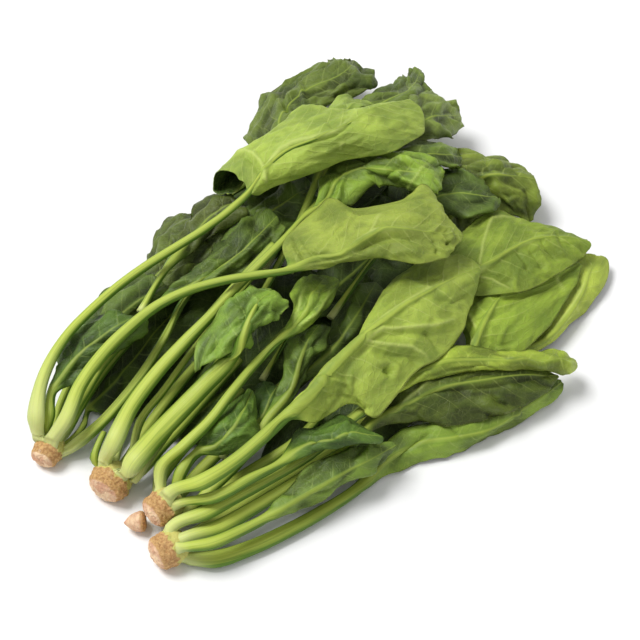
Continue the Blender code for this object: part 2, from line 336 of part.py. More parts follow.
      [(430, 257, 34), (442, 267, 39), (457, 277, 41), (463, 294, 37), (469, 312, 30)],
      [(463, 252, 34), (470, 258, 36), (480, 267, 37), (480, 278, 35), (478, 292, 31)]]),
    ("leaf_a1", "A", (6.6, 6.2, 5.2, 4.8), "leaf_pale",
     [(36, 420, 13, 7.4, 5.0), (40, 388, 18, 6.6, 4.6), (52, 358, 23, 5.6, 4.4), (68, 334, 27, 5.0, 4.0),
      (90, 311, 31, 4.8, 4.0), (116, 288, 34, 4.8, 4.0), (146, 266, 38, 4.8, 3.8), (176, 247, 42, 4.6, 3.6),
      (206, 228, 46, 4.2, 3.6), (232, 208, 50, 4.4, 3.4)],
     [[(236, 192, 37), (215, 192, 31), (216, 173, 46), (232, 173, 53), (249, 192, 52), (253, 194, 51), (258, 195, 49)],
      [(255, 170, 33), (232, 174, 29), (240, 151, 47), (252, 153, 54), (264, 171, 57), (275, 178, 54), (285, 183, 49)],
      [(276, 150, 31), (256, 154, 27), (263, 137, 46), (273, 142, 54), (286, 151, 59), (303, 165, 56), (316, 173, 49)],
      [(300, 135, 29), (281, 137, 26), (284, 120, 45), (297, 128, 55), (315, 139, 61), (332, 150, 57), (347, 161, 49)],
      [(320, 124, 34), (308, 122, 30), (304, 106, 45), (322, 115, 53), (346, 125, 60), (364, 139, 57), (381, 155, 49)],
      [(356, 115, 42), (347, 115, 42), (344, 111, 47), (355, 109, 53), (370, 110, 58), (392, 128, 54), (410, 143, 45)],
      [(390, 110, 43), (391, 107, 44), (395, 104, 45), (402, 101, 47), (410, 100, 48), (424, 110, 46), (435, 122, 41)]]),
    ("leaf_a2", "A", (-1.2, 9.6, 5.6, 5.0), "leaf_pale",
     [(66, 419, 20, 7.4, 5.4), (80, 386, 25, 7.2, 5.4), (102, 355, 31, 6.6, 5.2), (130, 327, 37, 6.0, 4.8),
      (160, 304, 43, 5.4, 4.6), (190, 290, 48, 4.8, 4.2), (222, 281, 51, 4.6, 4.0), (256, 275, 53, 4.4, 3.8),
      (288, 270, 54, 4.2, 3.6)],
     [[(283, 241, 50), (296, 251, 52), (316, 262, 54), (320, 265, 54), (325, 268, 52)],
      [(311, 213, 50), (325, 232, 54), (344, 255, 57), (348, 259, 57), (353, 263, 54)],
      [(330, 199, 49), (345, 219, 55), (364, 240, 59), (371, 251, 57), (379, 258, 53)],
      [(358, 207, 48), (370, 217, 55), (387, 230, 59), (393, 246, 57), (401, 262, 52)],
      [(399, 199, 47), (400, 212, 53), (408, 230, 57), (414, 247, 55), (421, 264, 50)],
      [(423, 185, 45), (426, 205, 50), (431, 233, 53), (435, 246, 51), (441, 260, 47)],
      [(447, 215, 43), (455, 224, 45), (463, 236, 46), (459, 244, 46), (453, 252, 44)]]),
]

# ---------------------------------------------------------------- layout to space
BACK = np.array([math.sin(AZIMUTH) * math.cos(ELEVATION), -math.cos(AZIMUTH) * math.cos(ELEVATION), math.sin(ELEVATION)])
RIGHT = np.array([math.cos(AZIMUTH), math.sin(AZIMUTH), 0.0])
UPWARD = np.cross(BACK, RIGHT)
EYE = BACK * EYE_DISTANCE


def at(u, v, h):
    """The point at height h on the sight line through layout point (u, v)."""
    across = (u / LAYOUT_SIZE - 0.5) * LAYOUT_SPREAD
    down = (v / LAYOUT_SIZE - 0.5) * LAYOUT_SPREAD
    line = RIGHT * across - UPWARD * down - BACK
    return EYE + line * ((h - EYE[2]) / line[2])


def sightline(points):
    """Step toward the eye that raises each point by one millimetre."""
    line = EYE - points
    return line / line[..., 2:3]


def unit(v):
    return v / np.maximum(np.linalg.norm(v, axis=-1, keepdims=True), 1e-9)


def spline(t, values, q):
    """Smooth curve through values at parameters t, read at q."""
    t, values, q = np.asarray(t, float), np.asarray(values, float), np.asarray(q, float)
    shape = (-1,) + (1,) * (values.ndim - 1)
    step = np.diff(t).reshape(shape)
    slope = np.diff(values, axis=0) / step
    m = np.empty_like(values)
    m[0], m[-1] = slope[0], slope[-1]
    m[1:-1] = (step[1:] * slope[:-1] + step[:-1] * slope[1:]) / (step[1:] + step[:-1])
    k = np.clip(np.searchsorted(t, q, side="right") - 1, 0, len(t) - 2)
    h = (t[k + 1] - t[k]).reshape(shape)
    x = (q - t[k]).reshape(shape) / h
    return (
        (2 * x**3 - 3 * x**2 + 1) * values[k]
        + (x**3 - 2 * x**2 + x) * h * m[k]
        + (3 * x**2 - 2 * x**3) * values[k + 1]
        + (x**3 - x**2) * h * m[k + 1]
    )


# ---------------------------------------------------------------- plants and leaves
def plant_frame(key):
    """Crown centre, heading and left direction of a plant."""
    place, heading, _ = PLANTS[key]
    angle = math.radians(heading)
    return at(*place), np.array([math.cos(angle), math.sin(angle), 0.0]), np.array([-math.sin(angle), math.cos(angle), 0.0])


def control_rows(leaf):
    """Control rows of a leaf: stalk rows built round the stalk's line, then blade rows.
    Returns rows (R, K, 3), thickness (R,) and blade share (R,)."""
    _, plant, base, _, stalk, blade = leaf
    centre, heading, side = plant_frame(plant)
    count = len(blade[0]) if blade else 5
    line = [at(u, v, h) for u, v, h, _, _ in stalk]
    widths = [s[3] for s in stalk]
    thicks = [s[4] for s in stalk]
    if base:
        left, up, width, thick = base
        start = centre + heading * (PLANTS[plant][2][1] + 1.0) + side * left
        start[2] = up
        line, widths, thicks = [start] + line, [width] + widths, [thick] + thicks
    after = [np.mean([at(*p) for p in blade[0]], axis=0)] if blade else []
    rows = []
    for i, point in enumerate(line):
        if i == 0 and base:
            run = heading
        else:
            ahead = (line + after)[min(i + 1, len(line) + len(after) - 1)]
            run = unit(ahead - line[max(i - 1, 0)])
        lateral = unit(np.cross([0.0, 0.0, 1.0], run))
        reach = np.cos(np.pi * np.arange(count) / (count - 1)) * widths[i] / 2
        rows.append(point + reach[:, None] * lateral)
    for row in blade:
        rows.append(np.array([at(*p) for p in row]))
    share = [0.0] * len(line) + [1.0] * len(blade)
    thicks += [0.0] * len(blade)
    return np.array(rows), np.array(thicks), np.array(share)


def ring_grid(rows, thicks, share, per_gap, points, upright):
    """Loft: rings of points round the leaf, with each ring's place along and across."""
    middle = rows[:, rows.shape[1] // 2]
    chord = np.maximum(np.linalg.norm(np.diff(middle, axis=0), axis=1), 2.0)
    t = np.concatenate([[0.0], np.cumsum(chord)])
    along = []
    for i in range(len(rows) - 1):
        n = per_gap if share[i + 1] > 0 else 1
        along += [i + k / n for k in range(n)]
    along = np.array(along + [len(rows) - 1.0])
    q = np.interp(along, np.arange(len(rows)), t)
    skin = spline(t, rows, q)
    across = np.arange(points) / (points - 1)
    columns = np.arange(rows.shape[1]) / (rows.shape[1] - 1)
    skin = np.moveaxis(spline(columns, np.moveaxis(skin, 1, 0), across), 0, 1)
    b = np.interp(along, np.arange(len(rows)), share)[:, None]
    stalk_t = np.interp(along, np.arange(len(rows)), thicks)[:, None]
    blade_start = max(1, int(np.argmax(share > 0))) if share.max() > 0 else len(rows)
    fade = np.clip(1 - (along - blade_start) / max(1, len(rows) - 1 - blade_start), 0.15, 1)[:, None]
    edge = np.minimum(across, 1 - across)[None, :]
    blade_t = BLADE * np.minimum(1, 6 * edge) + MIDRIB * fade * np.exp(-(((across[None, :] - 0.5) / 0.1) ** 2))
    last_stalk = thicks[share == 0][-1]
    stalk_t = np.where(b > 0, last_stalk, stalk_t)
    half = ((1 - b) * stalk_t * np.sin(np.pi * across)[None, :] + b * blade_t) / 2
    gaps = np.linalg.norm(np.diff(skin, axis=1), axis=2)
    nearest = np.minimum(np.pad(gaps, ((0, 0), (0, 1)), mode="edge"), np.pad(gaps, ((0, 0), (1, 0)), mode="edge"))
    half = np.where(b > 0.99, np.minimum(half, 0.4 * nearest), half)  # thinner where a blade is gathered
    half[:, 0] = half[:, -1] = 0.0
    run = np.gradient(skin, axis=0)
    left = -np.gradient(skin, axis=1)
    normal = unit(np.cross(run, left))
    if upright:
        normal[0] = [0.0, 0.0, 1.0]
    top = skin + normal * half[..., None]
    bottom = skin - normal * half[..., None]
    rings = np.concatenate([top, bottom[:, -2:0:-1]], axis=1)
    s = np.concatenate([across, across[-2:0:-1]]) * (rows.shape[1] - 1)
    return rings, along, s


def loft_faces(count, points):
    """Triangles of a closed tube of count rings, each end closed by a strip that joins
    its upper points to its lower ones."""
    around = 2 * points - 2
    faces = []
    for i in range(count - 1):
        for m in range(around):
            n = (m + 1) % around
            a, b, c, d = i * around + m, i * around + n, (i + 1) * around + n, (i + 1) * around + m
            faces += [(a, b, c), (a, c, d)]
    for start, turned in ((0, True), ((count - 1) * around, False)):
        for k in range(points - 1):
            corners = [k, k + 1, around - k - 1, (around - k) % around]
            if turned:
                corners.reverse()
            a, b, c, d = [start + m for m in corners]
            faces += [f for f in ((a, b, c), (a, c, d)) if len(set(f)) == 3]
    return np.array(faces)


def leaf_mesh(rows, thicks, share, per_gap, points, upright):
    rings, along, s = ring_grid(rows, thicks, share, per_gap, points, upright)
    count, around = rings.shape[:2]
    return rings.reshape(-1, 3), loft_faces(count, points), np.repeat(along, around), np.tile(s, count)


# ---------------------------------------------------------------- laying down
def spots(vertices, faces, extra):
    """Points spread over every triangle closer than the map's cell, each with the
    values of extra (V, E) blended from its corners."""
    corners = vertices[faces]
    size = np.linalg.norm(corners - np.roll(corners, 1, axis=1), axis=2).max(1)
    pieces = np.clip(np.ceil(size / (0.7 * CELL)), 1, 60).astype(int)
    out = []
    full = np.concatenate([vertices, extra], axis=1)
    for k in np.unique(pieces):
        chosen = faces[pieces == k]
        a, b = np.meshgrid(np.arange(k + 1), np.arange(k + 1), indexing="ij")
        keep = a + b <= k
        w = np.stack([a[keep], b[keep], k - a[keep] - b[keep]], axis=1) / k
        out.append(np.einsum("wc,fce->fwe", w, full[chosen]).reshape(-1, full.shape[1]))
    return np.concatenate(out)


def cells(points):
    ix = np.clip(((points[:, 0] - MAP_X[0]) / CELL).astype(int), 0, MAP_SHAPE[0] - 1)
    iy = np.clip(((points[:, 1] - MAP_Y[0]) / CELL).astype(int), 0, MAP_SHAPE[1] - 1)
    return ix, iy


MAP_SHAPE = (int((MAP_X[1] - MAP_X[0]) / CELL), int((MAP_Y[1] - MAP_Y[0]) / CELL))


def widened(height):
    """Each cell takes the tallest of its neighbours."""
    out = height.copy()
    for dx in (-1, 0, 1):
        for dy in (-1, 0, 1):
            out = np.maximum(out, np.roll(np.roll(height, dx, 0), dy, 1))
    return out


def lay_down(leaf, height, per_gap, points):
    """Raise a leaf's control rows until it clears everything under it."""
    rows, thicks, share = control_rows(leaf)
    lift = np.zeros(rows.shape[:2])
    rise = sightline(rows)
    if leaf[2]:
        rise[0] = [0.0, 0.0, 1.0]  # the base stays at its distance from the crown
    under = widened(height)
    for turn in range(80):
        placed = rows + rise * lift[..., None]
        vertices, faces, i, j = leaf_mesh(placed, thicks, share, per_gap, points, bool(leaf[2]))
        s = spots(vertices, faces, np.stack([i, j], axis=1))
        ix, iy = cells(s)
        floor = under[ix, iy]
        need = np.where(floor > 0, floor + CLEAR, 0.0) - s[:, 2]
        bad = need > 1e-3
        if not bad.any():
            break
        s, need = s[bad], need[bad]
        ask = np.zeros_like(lift)
        r = np.clip(s[:, 3], 0, len(rows) - 1)
        c = np.clip(s[:, 4], 0, rows.shape[1] - 1)
        for i in (np.floor(r), np.ceil(r)):
            for j in (np.floor(c), np.ceil(c)):
                np.maximum.at(ask, (i.astype(int), j.astype(int)), need)
        most = ask.max(axis=1, keepdims=True)
        ask = np.maximum(ask, most * np.where(share == 0, 1.0, 0.75)[:, None])
        for _ in range(2):
            spread = ask.copy()
            spread[1:] = np.maximum(spread[1:], 0.6 * ask[:-1])
            spread[:-1] = np.maximum(spread[:-1], 0.6 * ask[1:])
            ask = spread
        lift += ask * 0.6 + 0.02 * (ask > 0)
    placed = rows + rise * lift[..., None]
    return placed, thicks, share, lift


def stamp(height, vertices, faces):
    s = spots(vertices, faces, np.zeros((len(vertices), 0)))
    ix, iy = cells(s)
    np.maximum.at(height, (ix, iy), s[:, 2])


# ---------------------------------------------------------------- crowns
def knobbly(direction, seed):
    """Gentle lumps on a crown, as a share of its radius."""
    x, y, z = direction
    return 0.035 * math.sin(5 * x + seed) * math.cos(4 * y - seed) + 0.03 * math.sin(7 * z + 2 * seed + 3 * x)


def flat_cut(bm, origin, normal):
    """Cut a body by a plane and close it with one flat face."""
    geometry = bm.verts[:] + bm.edges[:] + bm.faces[:]
    cut = bmesh.ops.bisect_plane(bm, geom=geometry, dist=1e-4, plane_co=origin, plane_no=normal, clear_outer=True)
    edges = [e for e in cut["geom_cut"] if isinstance(e, bmesh.types.BMEdge)]
    if edges:
        bmesh.ops.holes_fill(bm, edges=edges, sides=0)


def crown(key):
    """Domed stub, flattened where the leaves leave it and where it meets the ground."""
    centre, heading, side = plant_frame(key)
    dome, leaf_end, across, up = PLANTS[key][2]
    seed = ord(key)
    bm = bmesh.new()
    bmesh.ops.create_uvsphere(bm, u_segments=14, v_segments=9, radius=1.0)
    for vert in bm.verts:
        l, h, a = vert.co  # the sphere's poles lie along the heading
        swell = 1 + knobbly((a, l, h), seed)
        reach = a * dome * swell if a < 0 else a * leaf_end * 1.35
        vert.co = centre + heading * reach + side * (l * across * swell) + np.array([0, 0, h * up * swell])
    flat_cut(bm, tuple(centre + heading * leaf_end), tuple(heading))
    lowest = 0.0 if centre[2] < 10 else min(v.co.z for v in bm.verts)
    if lowest == 0.0:
        flat_cut(bm, (0.0, 0.0, 0.0), (0.0, 0.0, -1.0))
    return bm


def root_stub():
    """Pointed end of a fifth root, lying under the third crown."""
    tip, base = at(124, 523, 4.6), at(146, 521, 5.2)
    run = unit(base - tip)
    lateral = unit(np.cross([0, 0, 1.0], run))
    rise = np.cross(run, lateral)
    profile = [(0.0, 0.5), (0.1, 1.4), (0.28, 2.9), (0.5, 4.1), (0.75, 4.9), (1.0, 5.0)]
    bm = bmesh.new()
    length = np.linalg.norm(base - tip)
    rings = []
    for share, radius in profile:
        middle = tip + run * (share * length)
        ring = []
        for k in range(12):
            angle = 2 * math.pi * k / 12
            r = radius * (1 + 0.04 * math.sin(3 * angle + 5 * share))
            ring.append(bm.verts.new(middle + lateral * (math.cos(angle) * r) + rise * (math.sin(angle) * r)))
        rings.append(ring)
    for one, two in zip(rings, rings[1:]):
        for k in range(12):
            n = (k + 1) % 12
            bm.faces.new((one[k], one[n], two[n], two[k]))
    bm.faces.new(rings[0][::-1])
    bm.faces.new(rings[-1])
    bmesh.ops.recalc_face_normals(bm, faces=bm.faces[:])
    return bm


# ---------------------------------------------------------------- objects
def material(slot, name):
    colour, roughness = COLOURS[slot]
    made = bpy.data.materials.new(f"{slot}_{name}")
    made.use_nodes = True
    shader = made.node_tree.nodes["Principled BSDF"]
    shader.inputs["Base Color"].default_value = (*colour, 1.0)
    shader.inputs["Roughness"].default_value = roughness
    shader.inputs["Metallic"].default_value = 0.0
    made.diffuse_color = (*colour, 1.0)
    return made


def add_object(name, mesh, slot, collection, parent):
    thing = bpy.data.objects.new(name, mesh)
    mesh.materials.append(material(slot, name))
    collection.objects.link(thing)
    thing.parent = parent
    return thing


def triangles(bm):
    bmesh.ops.triangulate(bm, faces=bm.faces[:])
    bm.verts.ensure_lookup_table()
    vertices = np.array([v.co[:] for v in bm.verts])
    faces = np.array([[v.index for v in f.verts] for f in bm.faces])
    return vertices, faces


def main():
    for thing in list(bpy.data.objects):
        bpy.data.objects.remove(thing, do_unlink=True)
    collection = bpy.data.collections.new(OBJECT)
    bpy.context.scene.collection.children.link(collection)

    bodies = []  # name, slot, vertices in mm, faces
    height = np.zeros(MAP_SHAPE)
    crowns = {key: crown(key) for key in PLANTS}
    crown_maps = {}
    for key, bm in crowns.items():
        vertices, faces = triangles(bm)
        bodies.append((f"crown_{key.lower()}", "crown", vertices, faces))
        crown_maps[key] = np.zeros(MAP_SHAPE)
        stamp(crown_maps[key], vertices, faces)
        bm.free()
    stub = root_stub()
    vertices, faces = triangles(stub)
    bodies.append(("root_stub", "crown", vertices, faces))
    stub.free()

    for leaf in LEAVES:
        others = np.maximum.reduce([m for key, m in crown_maps.items() if key != leaf[1]])
        points = ROLLED_POINTS if leaf[5] and len(leaf[5][0]) > 5 else BLADE_POINTS
        placed, thicks, share, lift = lay_down(leaf, np.maximum(height, others), 1, points)
        vertices, faces, _, _ = leaf_mesh(placed, thicks, share, 1, points, bool(leaf[2]))
        stamp(height, vertices, faces)
        bodies.append((leaf[0], leaf[3], vertices, faces))

    every = np.concatenate([body[2] for body in bodies])
    low, high = every.min(0), every.max(0)
    shift = np.array([-(low[0] + high[0]) / 2, -(low[1] + high[1]) / 2, -low[2]])

    root = bpy.data.objects.new(OBJECT, None)
    collection.objects.link(root)
    for name, slot, vertices, faces in bodies:
        mesh = bpy.data.meshes.new(name)
        origin = vertices.mean(0) + shift
        mesh.from_pydata(((vertices + shift - origin) / 1000).tolist(), [], faces.tolist())
        mesh.update()
        thing = add_object(name, mesh, slot, collection, root)
        thing.location = origin / 1000
    print("size", np.round(high - low, 1), "shift", np.round(shift, 2), "triangles", sum(len(b[3]) for b in bodies))
    return shift


SHIFT = main()
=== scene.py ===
"""The looks of a cut bunch of spinach: every leaf, stalk and root crown as a fine
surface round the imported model. Lengths in the tables are millimetres."""

import math

import bmesh
import bpy
import numpy as np
from mathutils import Matrix, Vector


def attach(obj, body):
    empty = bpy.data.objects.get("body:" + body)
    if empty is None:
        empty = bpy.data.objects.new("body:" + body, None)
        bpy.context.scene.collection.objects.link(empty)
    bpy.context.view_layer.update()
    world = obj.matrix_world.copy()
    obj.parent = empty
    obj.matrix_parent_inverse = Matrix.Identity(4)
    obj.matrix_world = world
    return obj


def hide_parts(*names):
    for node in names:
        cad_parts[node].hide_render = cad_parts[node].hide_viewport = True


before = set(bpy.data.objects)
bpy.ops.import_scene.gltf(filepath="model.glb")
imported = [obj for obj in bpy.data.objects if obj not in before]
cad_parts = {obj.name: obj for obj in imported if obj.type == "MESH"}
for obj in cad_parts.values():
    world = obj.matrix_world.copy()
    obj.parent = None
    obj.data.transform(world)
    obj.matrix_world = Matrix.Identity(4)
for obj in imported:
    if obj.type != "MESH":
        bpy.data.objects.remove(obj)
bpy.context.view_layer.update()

# ---------------------------------------------------------------- driving sizes
ELEVATION = math.radians(50.0)  # slant of the oblique layout the leaves are drawn on
AZIMUTH = math.radians(-42.0)
EYE_DISTANCE = 889.0  # from the eye of the layout to the ground under its middle
LAYOUT_SIZE = 640.0  # the layout's side, in layout units
LAYOUT_SPREAD = 0.36  # the layout's side per unit of distance

BLADE = 1.7  # blade thickness
MIDRIB = 1.3  # extra thickness along the midrib at the blade's base
BLADE_POINTS = 7  # points across a blade on each side
ROLLED_POINTS = 13  # the same on a rolled or folded blade
CLEAR = 0.45  # least height between a piece and what it lies on
CELL = 0.6  # cell of the height map that pieces are laid down on
MAP_X, MAP_Y = (-230.0, 210.0), (-190.0, 190.0)

# Each plant: layout place of the crown's middle with its height, heading of its
# leaves in degrees, and the crown's half sizes: domed end, leaf end, across, up.
PLANTS = {
    "A": ((47, 453, 5.8), 22.0, (5.8, 3.2, 7.0, 6.5)),
    "B": ((109, 483.5, 7.5), 17.0, (6.4, 4.5, 9.3, 8.4)),
    "C": ((160, 509, 13.0), 0.0, (6.3, 4.5, 8.4, 7.2)),
    "D": ((166, 550, 7.0), -10.0, (6.8, 4.2, 8.6, 8.0)),
}

